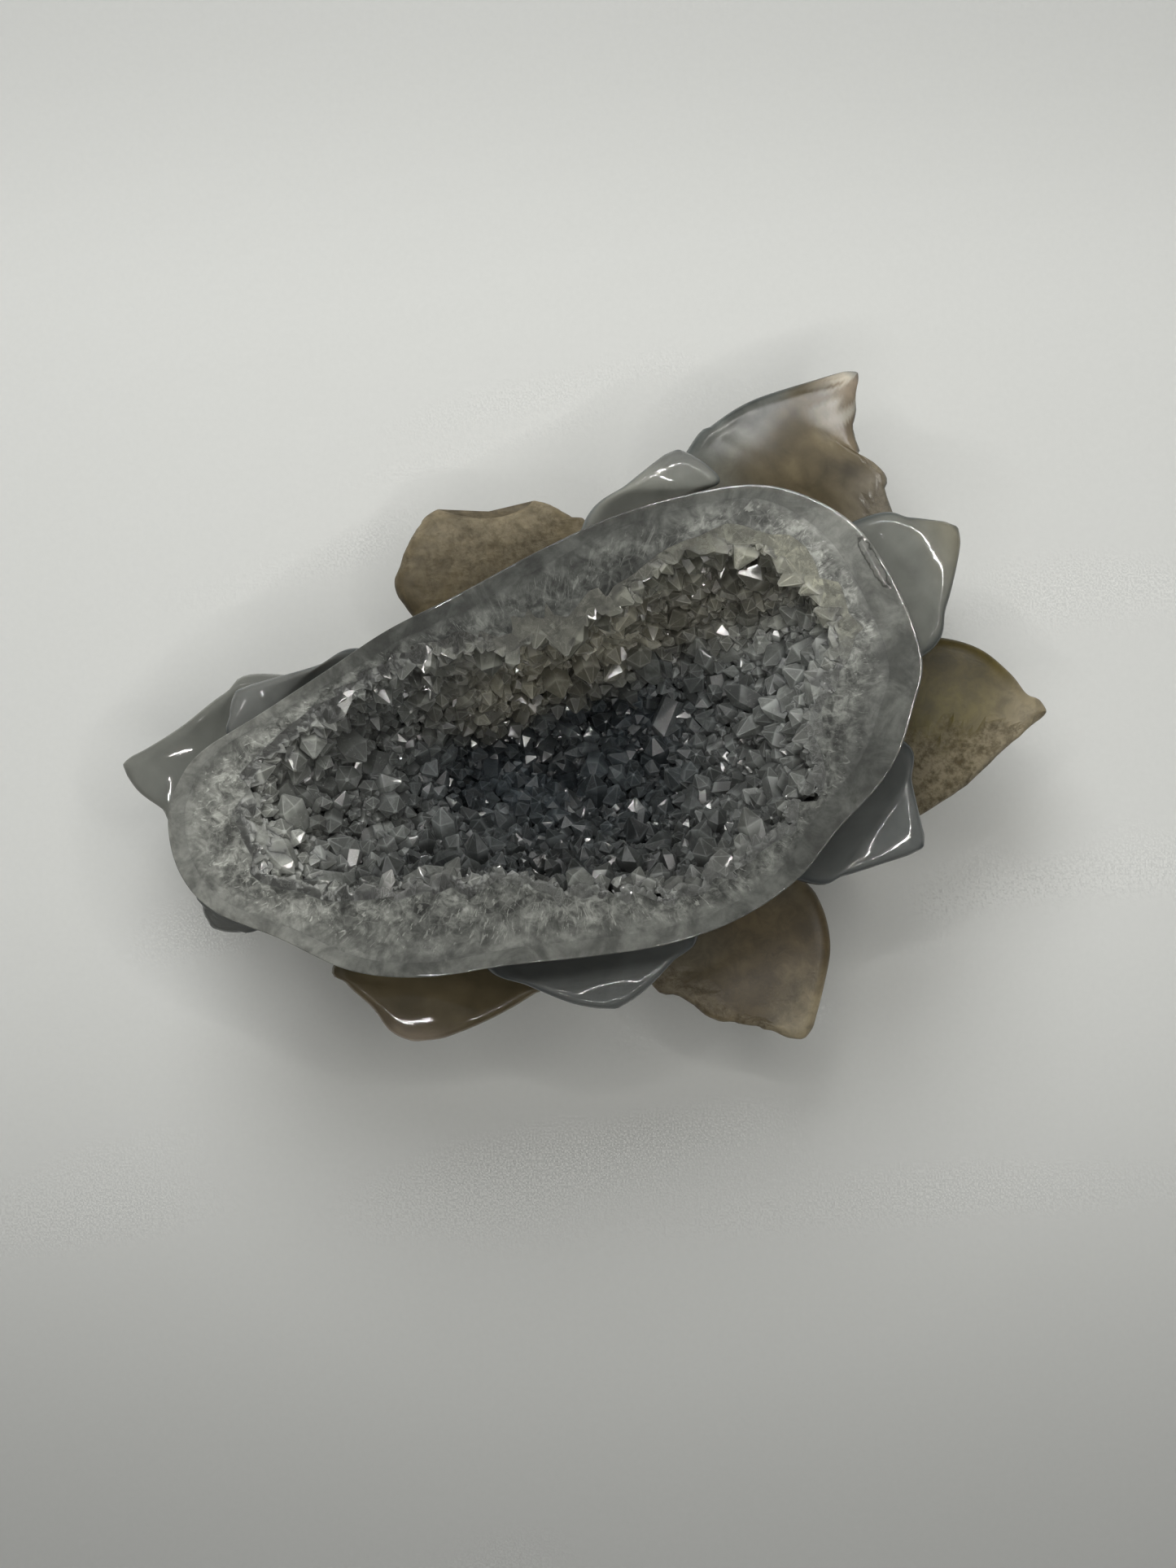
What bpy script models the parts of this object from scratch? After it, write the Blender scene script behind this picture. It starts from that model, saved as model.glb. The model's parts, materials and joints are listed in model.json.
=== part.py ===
"""Druzy agate lotus: a geode cut open and polished, with two tiers of petals carved round its outside.

Metres, +Z up. The carving stands on its flat base at z = 0, with the origin under the middle of its
bounding box. +X runs along the long way of the mouth, towards its broad end.
It is two pieces: the agate with its petals, and the crust of quartz crystals that lines the hollow.
"""

import math

import bmesh
import bpy
import numpy as np
from mathutils import Vector, geometry

MM = 0.001

# Driving dimensions, in millimetres.
RIM_HEIGHT = 58.0
RIM_DROP = 5.0
AGATE_BAND = 2.8
AGATE_BAND_BROAD_END = 5.5
CRYSTAL_GAP = 0.3
CAVITY_DEPTH = 31.0
NARROW_END_SHARE = 0.45
CRUST_FLOOR = 6.0
CRYSTAL_SPACING = 4.0
CRYSTAL_HEIGHTS = (1.3, 3.2)
SEED = 7

# Along X: where the rim starts to fall towards the narrow end and where it stops, where the hollow has its
# least and its full depth, and where the plain agate round the mouth starts and stops to widen.
RIM_FALLS = (-18.0, -68.0)
HOLLOW_DEEPENS = (-56.0, -10.0)
BAND_WIDENS = (28.0, 52.0)

# The middle of the mouth, seen from above. Every ring of the body is an outline about this point.
CENTRE = np.array([-5.0, -5.0])

# The polished rim's outer edge and the line where crystals begin, seen from above, anticlockwise.
RIM_OUTLINE = [
    (-68, -20), (-66, -28), (-60.5, -34), (-49.5, -38.5), (-38, -43.5), (-26, -44.5), (-12, -42.5),
    (2, -41), (14, -39), (25, -35), (34.5, -28.5), (41, -20.5), (47.5, -13.5), (51, -7.5), (53, -1),
    (54.5, 5.5), (53, 12.5), (48.5, 22), (43, 29), (35, 33.5), (27, 35), (17, 33.5), (5, 30),
    (-7, 24.5), (-20, 17.5), (-32, 11.5), (-42, 5), (-53, -2), (-62.5, -8), (-66.5, -13.5),
]
MOUTH_OUTLINE = [
    (-57, -14), (-55.5, -24), (-49.5, -30.5), (-38, -33), (-26, -31), (-15, -31), (-4, -32),
    (6, -31), (15, -31.5), (23, -28.5), (31, -22), (36, -14.5), (38.5, -7), (38.5, 0), (43, 7),
    (42, 15), (38, 22), (31, 27.5), (23, 28.5), (14, 24.5), (5, 18), (-5, 14.5), (-16, 11.5),
    (-27, 8.5), (-37, 3.5), (-46, -2), (-53, -7),
]

# The body's side: height above the base, and the outline's size there as a share of the rim's.
BODY_PROFILE = [
    (0.0, 0.60), (1.2, 0.63), (7.0, 0.69), (15.0, 0.76), (25.0, 0.83), (36.0, 0.90), (47.0, 0.96), (56.6, 1.0),
]
# The rim's rounded edge and its flat top: height, and how far in from the edge.
RIM_EDGE = [(57.6, 0.2), (58.0, 0.6), (58.0, 8.0)]
RIM_POINTS = 56
BOWL_TURNS = np.radians([0, 13, 28, 45, 62, 80])
DRUZY_ROUNDNESS = 0.92
MOUTH_JAG = 0.03
LATTICE_JITTER = 0.24

# Petal edges seen from above, from where they come out from under the rim to the tip. Left and right are as
# seen by someone in the middle of the flower who looks out along the petal.
PETALS = {
    "north_inner": {
        "tier": "inner", "tip_height": 49.0,
        "left": [(0, 30.5), (7, 36.2), (12.5, 40.6), (14.7, 42.1)],
        "right": [(18, 33.5), (22.3, 36.5), (20.6, 39.1), (16.5, 41.9)],
    },
    "northeast_outer": {
        "tier": "outer", "tip_height": 31.0,
        "left": [(17.5, 44), (22, 48.5), (29, 52.8), (40, 56.4), (46, 58.2)],
        "right": [(52.4, 26), (53.2, 32.5), (53.4, 37.8), (51.2, 41), (47.8, 43), (46.6, 47.5), (47.2, 53), (47.8, 57.2)],
    },
    "east_inner": {
        "tier": "inner", "tip_height": 48.0,
        "left": [(46.5, 31), (54, 30.8), (61, 30)],
        "right": [(56.5, 8), (59.8, 16), (61.8, 24), (62.4, 28.5)],
    },
    "east_outer": {
        "tier": "outer", "tip_height": 30.0,
        "left": [(54, 11.5), (61, 12), (68, 10), (73.4, 5.8), (76.2, 2.4), (78.2, 1.5), (79.8, 0.3)],
        "right": [(53, -19), (58, -18.6), (63, -16), (70, -9.8), (75.5, -4.9), (77.8, -3.1), (79.8, -1.7)],
    },
    "southeast_inner": {
        "tier": "inner", "tip_height": 48.0,
        "left": [(53, -6), (54.2, -13), (55.6, -19.4), (56.7, -23.1)],
        "right": [(37, -29.8), (43, -28.5), (49.6, -26.4), (55.3, -24.6)],
    },
    "south_outer": {
        "tier": "outer", "tip_height": 27.0,
        "left": [(37, -29), (41, -34), (42.6, -41), (41.6, -48), (39.4, -57)],
        "right": [(11, -47.5), (15.5, -50.5), (21.5, -54), (30, -56), (36.8, -58.2)],
    },
    "south_inner": {
        "tier": "inner", "tip_height": 47.0,
        "left": [(19, -38), (14.7, -42.8), (10.4, -47.2), (6.5, -50.3)],
        "right": [(-17, -43.5), (-9.4, -46.8), (-2, -49.7), (4.2, -50.9)],
    },
    "southwest_outer": {
        "tier": "outer", "tip_height": 26.0,
        "left": [(-4, -46), (-9, -50), (-16, -54), (-23.5, -57.2), (-27.8, -58.2)],
        "right": [(-43.5, -44), (-41.5, -48), (-37, -52.2), (-34.2, -56), (-31, -58.2)],
    },
    "west_inner": {
        "tier": "inner", "tip_height": 42.0,
        "left": [(-53.5, -37.4), (-57.8, -38.2), (-61.8, -38.1)],
        "right": [(-64, -30), (-64.2, -34), (-63.4, -36.8)],
    },
    "west_outer": {
        "tier": "outer", "tip_height": 30.0,
        "left": [(-68, -21), (-73, -17.5), (-77, -14.6), (-79.8, -10.9)],
        "right": [(-55, 5.8), (-62, 2.4), (-69, -3), (-75, -6.8), (-79.8, -9.2)],
    },
    "northwest_inner": {
        "tier": "inner", "tip_height": 44.0,
        "left": [(-59, -6), (-59.3, -1.6), (-58.9, 1.7)],
        "right": [(-37.5, 9.6), (-44.5, 6.6), (-52, 4.4), (-57.8, 2.8)],
    },
    "north_outer": {
        "tier": "outer", "tip_height": 25.0, "notch": 2.4,
        "left": [(-30, 15.5), (-33, 20), (-32.4, 25.5), (-29.5, 31.5), (-27, 34.6)],
        "right": [(1.5, 31), (-2.5, 33.6), (-7.2, 36.4)],
    },
}
# The height of a petal's middle line at its root, its half thickness there and at the tip, and how far its
# long edges rise above its middle line.
TIERS = {
    "outer": {"root_height": 6.5, "root_half": 4.6, "tip_half": 1.3, "cup": 2.6},
    "inner": {"root_height": 16.0, "root_half": 4.4, "tip_half": 1.3, "cup": 2.0},
}
PETAL_SECTIONS = 7
PETAL_FACETS = 6
PETAL_ROUNDNESS = 2.6
PETAL_CURL = 3.0
ROOT_EMBED = 4.5
ROOT_SPREAD = 0.12


def evenly_spaced(line, count):
    """count points at even distances along a line of points."""
    along = np.concatenate([[0], np.cumsum(np.linalg.norm(np.diff(line, axis=0), axis=1))])
    wanted = np.linspace(0, along[-1], count)
    return np.column_stack([np.interp(wanted, along, line[:, axis]) for axis in range(line.shape[1])])


def spline(points, count):
    """Evenly spaced points on a Catmull-Rom curve through all but the first and the last of the points."""
    p = np.asarray(points, float)
    t = np.linspace(0, 1, 20, endpoint=False)[:, None]
    runs = []
    for a, b, c, d in zip(p, p[1:], p[2:], p[3:]):
        bend = (2 * a - 5 * b + 4 * c - d) * t**2 + (3 * b - a - 3 * c + d) * t**3
        runs.append(b + 0.5 * ((c - a) * t + bend))
    return evenly_spaced(np.vstack([*runs, p[-2:-1]]), count)


def open_curve(points, count):
    """Points on a smooth curve from the first given point to the last."""
    p = np.asarray(points, float)
    return spline([2 * p[0] - p[1], *p, 2 * p[-1] - p[-2]], count)


def closed_curve(points, count):
    """Points on a smooth closed curve. The first isn't repeated at the end."""
    return spline([points[-1], *points, *points[:2]], count + 1)[:-1]


def directions(points):
    """The angle of each point about CENTRE."""
    offset = points - CENTRE
    return np.arctan2(offset[:, 1], offset[:, 0])


def around(angle, angles, values):
    """The value at an angle, from values known at other angles all round."""
    return np.interp(angle, angles, values, period=2 * math.pi)


def radius_at(outline, angle):
    """How far the outline is from CENTRE in each direction."""
    curve = closed_curve(outline, 720)
    return around(angle, directions(curve), np.linalg.norm(curve - CENTRE, axis=1))


def from_centre(angle, radius):
    return CENTRE + np.column_stack([np.cos(angle) * radius, np.sin(angle) * radius])


def ramp(x, ends):
    """Rises smoothly from 0 at the first end to 1 at the second."""
    t = np.clip((x - ends[0]) / (ends[1] - ends[0]), 0, 1)
    return t * t * (3 - 2 * t)


def rim_height(x):
    return RIM_HEIGHT - RIM_DROP * ramp(x, RIM_FALLS)


def cavity_depth(x):
    return CAVITY_DEPTH * (NARROW_END_SHARE + (1 - NARROW_END_SHARE) * ramp(x, HOLLOW_DEEPENS))


def rim_points():
    return closed_curve(RIM_OUTLINE, RIM_POINTS)


def standing(plan, heights):
    """Points in space above the plan's points."""
    return np.column_stack([plan, np.broadcast_to(heights, len(plan))])


def skin(bm, rows):
    """Faces between rows of vertices, each row a closed loop of the same length."""
    for low, high in zip(rows, rows[1:]):
        for i in range(len(low)):
            bm.faces.new((low[i - 1], low[i], high[i], high[i - 1]))


def new_row(bm, ring):
    return [bm.verts.new(point * MM) for point in ring]


def finished_mesh(bm, name):
    """The closed mesh in triangles, facing outwards."""
    bmesh.ops.triangulate(bm, faces=bm.faces)
    bmesh.ops.recalc_face_normals(bm, faces=bm.faces)
    mesh = bpy.data.meshes.new(name)
    bm.to_mesh(mesh)
    bm.free()
    return mesh


def lofted(name, rings):
    """A closed mesh through rings of points in millimetres, with a cap on each end."""
    bm = bmesh.new()
    rows = [new_row(bm, ring) for ring in rings]
    skin(bm, rows)
    bm.faces.new(rows[0])
    bm.faces.new(rows[-1])
    return finished_mesh(bm, name)


def body_mesh():
    """The geode's outside: rings of the rim's outline, drawn in towards the flat base."""
    rim = rim_points()
    share = rim_height(rim[:, 0]) / RIM_HEIGHT
    rings = [standing(CENTRE + (rim - CENTRE) * scale, height * share) for height, scale in BODY_PROFILE]
    outwards = (rim - CENTRE) / np.linalg.norm(rim - CENTRE, axis=1)[:, None]
    for height, inset in RIM_EDGE:
        rings.append(standing(rim - outwards * inset, height * share))
    return lofted("carved_lotus", rings)


def crust_rings(clearance):
    """The crust's outer side, from the polished face down to its floor, moved out by the clearance."""
    rim = rim_points()
    band = AGATE_BAND + (AGATE_BAND_BROAD_END - AGATE_BAND) * ramp(rim[:, 0], BAND_WIDENS)
    radius = np.linalg.norm(rim - CENTRE, axis=1) - band + clearance
    rings = []
    for turn in BOWL_TURNS:
        plan = from_centre(directions(rim), radius * math.cos(turn))
        drop = (CAVITY_DEPTH + CRUST_FLOOR + clearance) * math.sin(turn)
        rings.append(standing(plan, rim_height(plan[:, 0]) - drop))
    return rings


def hollow_mesh():
    """The crust's room: its outer side with the gap round it, carried up past the rim."""
    rings = crust_rings(CRYSTAL_GAP)
    return lofted("hollow", [rings[0] + [0, 0, 6], *rings])


def petal_root(edge_start, side, height):
    """Where a petal's edge starts: inside the body's wall, and a little to the side of its first seen point."""
    angle = directions(np.array([edge_start])) + {"left": ROOT_SPREAD, "right": -ROOT_SPREAD}[side]
    heights, scales = np.transpose(BODY_PROFILE)
    wall = radius_at(RIM_OUTLINE, angle) * np.interp(height, heights, scales)
    return from_centre(angle, wall - ROOT_EMBED)[0]


def petal_mesh(name, petal):
    """A leaf of stone: lens-shaped sections across it, from the root inside the body to the tip.

    v runs from -1 on the right edge to 1 on the left one, over the top and back underneath.
    """
    tier = TIERS[petal["tier"]]
    root = tier["root_height"]
    left, right = (
        open_curve([petal_root(petal[side][0], side, root), *petal[side]], PETAL_SECTIONS)
        for side in ("left", "right")
    )
    over = -np.cos(np.linspace(0, math.pi, PETAL_FACETS + 1))
    v = np.concatenate([over, over[-2:0:-1]])
    side = np.concatenate([np.ones(PETAL_FACETS + 1), -np.ones(PETAL_FACETS - 1)])
    bulge = side * (1 - np.abs(v) ** PETAL_ROUNDNESS) ** (1 / PETAL_ROUNDNESS)
    sections = []
    for row, u in enumerate(np.linspace(0, 1, PETAL_SECTIONS)):
        half = tier["root_half"] + (tier["tip_half"] - tier["root_half"]) * u**0.7
        rise = 1 - (1 - u) ** PETAL_CURL
        cup = tier["cup"] * math.sin(math.pi * u**0.8) * v**2
        height = root + (petal["tip_height"] - root) * rise + cup + half * bulge
        plan = right[row] + (left[row] - right[row]) * (v[:, None] + 1) / 2
        inwards = (CENTRE - plan) / np.linalg.norm(CENTRE - plan, axis=1)[:, None]
        notch = petal.get("notch", 0) * u**3 * (1 - v**2)
        sections.append(standing(plan + inwards * notch[:, None], height))
    return lofted(name, sections)


def flat_reach(mouth):
    """The length of the hollow's lining from the middle of its floor to the mouth: a quarter ellipse's."""
    return math.pi / 2 * np.sqrt((mouth**2 + CAVITY_DEPTH**2) / 2)


def flat_lining(angles, reach, rng):
    """The lining laid flat, in triangles: points all round its edge, then an uneven lattice inside it."""
    points = [Vector(p) for p in np.column_stack([np.cos(angles) * reach, np.sin(angles) * reach])]
    edge_count = len(points)
    half = int(reach.max() / (CRYSTAL_SPACING * math.sqrt(0.75))) + 1
    for row in range(-half, half + 1):
        for column in range(-half, half + 1):
            spot = np.array([column + row % 2 / 2, row * math.sqrt(0.75)])
            spot = (spot + rng.uniform(-LATTICE_JITTER, LATTICE_JITTER, 2)) * CRYSTAL_SPACING
            limit = around(math.atan2(spot[1], spot[0]), angles, reach)
            if math.hypot(*spot) < limit - 0.7 * CRYSTAL_SPACING:
                points.append(Vector(spot))
    verts, _, faces, *_ = geometry.delaunay_2d_cdt(points, [], [list(range(edge_count))], 1, 1e-6)
    return verts, faces


def lining_point(spot, angles, mouth):
    """Folds a point of the flat lining up into the hollow."""
    angle = math.atan2(spot.y, spot.x)
    turn = math.pi / 2 * min(spot.length / around(angle, angles, flat_reach(mouth)), 1)
    radius = around(angle, angles, mouth) * math.sin(turn) ** DRUZY_ROUNDNESS
    x, y = from_centre(np.array([angle]), radius)[0]
    drop = cavity_depth(x) * max(math.cos(turn), 0) ** DRUZY_ROUNDNESS
    return Vector((x, y, rim_height(x) - drop)) * MM


def grow_crystals(bm, rng):
    """Raises each point of the lining into a six-sided crystal.

    Every face gets a point in its middle, and every ridge between two of the old points is turned to run
    between two of the new ones. That leaves the old points as tips, with valleys all round them.
    """
    ridges = [edge for edge in bm.edges if not edge.is_boundary]
    tips = [vert for vert in bm.verts if not vert.is_boundary]
    bmesh.ops.poke(bm, faces=bm.faces)
    bmesh.ops.rotate_edges(bm, edges=ridges)
    bm.normal_update()
    raised = [vert.co + vert.normal * rng.uniform(*CRYSTAL_HEIGHTS) * MM for vert in tips]
    for vert, place in zip(tips, raised):
        place.z = min(place.z, (rim_height(place.x / MM) - CRYSTAL_GAP) * MM)
        vert.co = place


def crust_mesh():
    """The quartz: crystals all over the inside, a flat polished face round them, and a smooth outside."""
    rng = np.random.default_rng(SEED)
    angles = directions(rim_points())
    mouth = radius_at(MOUTH_OUTLINE, angles) * (1 + rng.uniform(-MOUTH_JAG, MOUTH_JAG, RIM_POINTS))
    spots, faces = flat_lining(angles, flat_reach(mouth), rng)
    bm = bmesh.new()
    verts = [bm.verts.new(lining_point(spot, angles, mouth)) for spot in spots]
    for face in faces:
        bm.faces.new([verts[i] for i in face])
    grow_crystals(bm, rng)
    rows = [verts[:RIM_POINTS], *(new_row(bm, ring) for ring in crust_rings(0))]
    skin(bm, rows)
    bm.faces.new(rows[-1])
    return finished_mesh(bm, "crystal_crust")


def new_collection(name):
    collection = bpy.data.collections.new(name)
    bpy.context.scene.collection.children.link(collection)
    return collection


def add(mesh, collection):
    made = bpy.data.objects.new(mesh.name, mesh)
    collection.objects.link(made)
    return made


def add_tool(mesh, collection):
    """A shape that cuts or joins another and isn't a piece itself."""
    made = add(mesh, collection)
    made.hide_render = True
    made.display_type = "WIRE"
    return made


def paint(piece, colour, roughness):
    """The piece's own stone: its colour, with a polish given by the roughness."""
    material = bpy.data.materials.new(f"{piece.name}_stone")
    material.use_nodes = True
    shader = material.node_tree.nodes["Principled BSDF"]
    shader.inputs["Base Color"].default_value = (*colour, 1)
    shader.inputs["Roughness"].default_value = roughness
    shader.inputs["Metallic"].default_value = 0
    piece.data.materials.append(material)


def make_carved_lotus(parts, cutters):
    """The agate: the geode's outside joined with its petals, and hollowed for the crust."""
    lotus = add(body_mesh(), parts)
    petals = new_collection("petals")
    for name, petal in PETALS.items():
        add_tool(petal_mesh(name, petal), petals)
    join = lotus.modifiers.new("petals", "BOOLEAN")
    join.operation = "UNION"
    join.operand_type = "COLLECTION"
    join.collection = petals
    cut = lotus.modifiers.new("hollow", "BOOLEAN")
    cut.operation = "DIFFERENCE"
    cut.object = add_tool(hollow_mesh(), cutters)
    paint(lotus, (0.33, 0.31, 0.30), 0.18)


def make_crystal_crust(parts):
    paint(add(crust_mesh(), parts), (0.45, 0.46, 0.47), 0.12)


def main():
    for obj in list(bpy.data.objects):
        bpy.data.objects.remove(obj, do_unlink=True)
    parts = new_collection("druzy_agate_lotus")
    cutters = new_collection("cutters")
    make_carved_lotus(parts, cutters)
    make_crystal_crust(parts)


main()
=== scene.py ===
"""Looks of the druzy agate lotus: carved and polished agate, a polished quartz face and a hollow of crystals.

Every surface is worked out as whole arrays on a grid, in millimetres, and made a mesh in metres. The
formulas for the body, the crust and the petals are those of the solids, on finer grids.
"""

import json
import math

import bpy
import numpy as np
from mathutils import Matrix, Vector

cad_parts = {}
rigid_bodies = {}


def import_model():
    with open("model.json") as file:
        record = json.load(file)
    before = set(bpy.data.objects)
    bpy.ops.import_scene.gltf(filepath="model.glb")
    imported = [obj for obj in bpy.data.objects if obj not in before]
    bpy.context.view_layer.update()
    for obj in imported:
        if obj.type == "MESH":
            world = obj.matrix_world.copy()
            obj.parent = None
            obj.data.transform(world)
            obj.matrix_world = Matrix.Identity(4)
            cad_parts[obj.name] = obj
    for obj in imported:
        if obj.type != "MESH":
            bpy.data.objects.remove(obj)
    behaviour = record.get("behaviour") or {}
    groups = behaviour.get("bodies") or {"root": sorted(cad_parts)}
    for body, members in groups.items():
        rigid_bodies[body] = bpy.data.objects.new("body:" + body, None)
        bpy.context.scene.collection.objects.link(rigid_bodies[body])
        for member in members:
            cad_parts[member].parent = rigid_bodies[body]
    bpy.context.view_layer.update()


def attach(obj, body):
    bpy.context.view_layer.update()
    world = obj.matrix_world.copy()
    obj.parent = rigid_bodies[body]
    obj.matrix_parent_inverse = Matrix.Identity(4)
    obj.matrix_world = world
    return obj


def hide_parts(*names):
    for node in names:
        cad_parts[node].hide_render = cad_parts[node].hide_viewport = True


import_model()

MM = 0.001
ROOT_BODY = "root"

# The camera looks straight down from here, in metres, with the photograph's field of view.
CAMERA_PLACE = (0.00056, -0.0133, 0.46)
FOCAL_PIXELS = 3066
FRAME_LONG_SIDE = 1927
SENSOR = 36.0

# The solids' driving dimensions, in millimetres. An outline is points of the plan, and the body's profile is
# heights with the share of the rim's outline that it has there.
RIM_HEIGHT = 58.0
RIM_DROP = 5.0
RIM_FALLS = (-18.0, -68.0)
AGATE_BAND = 2.8
AGATE_BAND_BROAD_END = 5.5
BAND_WIDENS = (28.0, 52.0)
CAVITY_DEPTH = 31.0
NARROW_END_SHARE = 0.45
HOLLOW_DEEPENS = (-56.0, -10.0)
CRUST_FLOOR = 6.0
DRUZY_ROUNDNESS = 0.92
CENTRE = np.array([-5.0, -5.0])

RIM_OUTLINE = [
    (-68, -20), (-66, -28), (-60.5, -34), (-49.5, -38.5), (-38, -43.5), (-26, -44.5), (-12, -42.5),
    (2, -41), (14, -39), (25, -35), (34.5, -28.5), (41, -20.5), (47.5, -13.5), (51, -7.5), (53, -1),
    (54.5, 5.5), (53, 12.5), (48.5, 22), (43, 29), (35, 33.5), (27, 35), (17, 33.5), (5, 30),
    (-7, 24.5), (-20, 17.5), (-32, 11.5), (-42, 5), (-53, -2), (-62.5, -8), (-66.5, -13.5),
]
MOUTH_OUTLINE = [
    (-57, -14), (-55.5, -24), (-49.5, -30.5), (-38, -33), (-26, -31), (-15, -31), (-4, -32),
    (6, -31), (15, -31.5), (23, -28.5), (31, -22), (36, -14.5), (38.5, -7), (38.5, 0), (43, 7),
    (42, 15), (38, 22), (31, 27.5), (23, 28.5), (14, 24.5), (5, 18), (-5, 14.5), (-16, 11.5),
    (-27, 8.5), (-37, 3.5), (-46, -2), (-53, -7),
]
BODY_PROFILE = [
    (0.0, 0.60), (1.2, 0.63), (7.0, 0.69), (15.0, 0.76), (25.0, 0.83), (36.0, 0.90), (47.0, 0.96),
    (56.6, 1.0),
]
# Each tier of petals: its roots' height, half a petal's thickness at root and tip, and how far its sides cup.
TIERS = {
    "outer": {"root_height": 6.5, "root_half": 4.6, "tip_half": 1.3, "cup": 2.6},
    "inner": {"root_height": 16.0, "root_half": 4.4, "tip_half": 1.3, "cup": 2.0},
}

# How sharply a petal's middle line curls up, how deep its root is in the body, and how far apart its edges
# spread there, as a turn.
PETAL_CURL = 3.0
ROOT_EMBED = 4.5
ROOT_SPREAD = 0.12

# Stone colours, linear.
STONE = {
    "blue_gray": (0.108, 0.114, 0.11),
    "pale_gray": (0.33, 0.335, 0.305),
    "mid_gray": (0.155, 0.16, 0.15),
    "clear_gray": (0.215, 0.22, 0.195),
    "brown": (0.108, 0.087, 0.05),
    "russet": (0.09, 0.066, 0.03),
    "dark_brown": (0.078, 0.066, 0.04),
    "olive": (0.07, 0.053, 0.012),
    "beige": (0.235, 0.2, 0.13),
    "tan": (0.185, 0.155, 0.1),
    "smoky_gray": (0.16, 0.165, 0.147),
    "warm_gray": (0.225, 0.215, 0.165),
    "moss": (0.105, 0.085, 0.016),
    "pale": (0.5, 0.48, 0.41),
    "pink_brown": (0.24, 0.20, 0.155),
    "pale_pink": (0.42, 0.38, 0.31),
}

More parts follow.
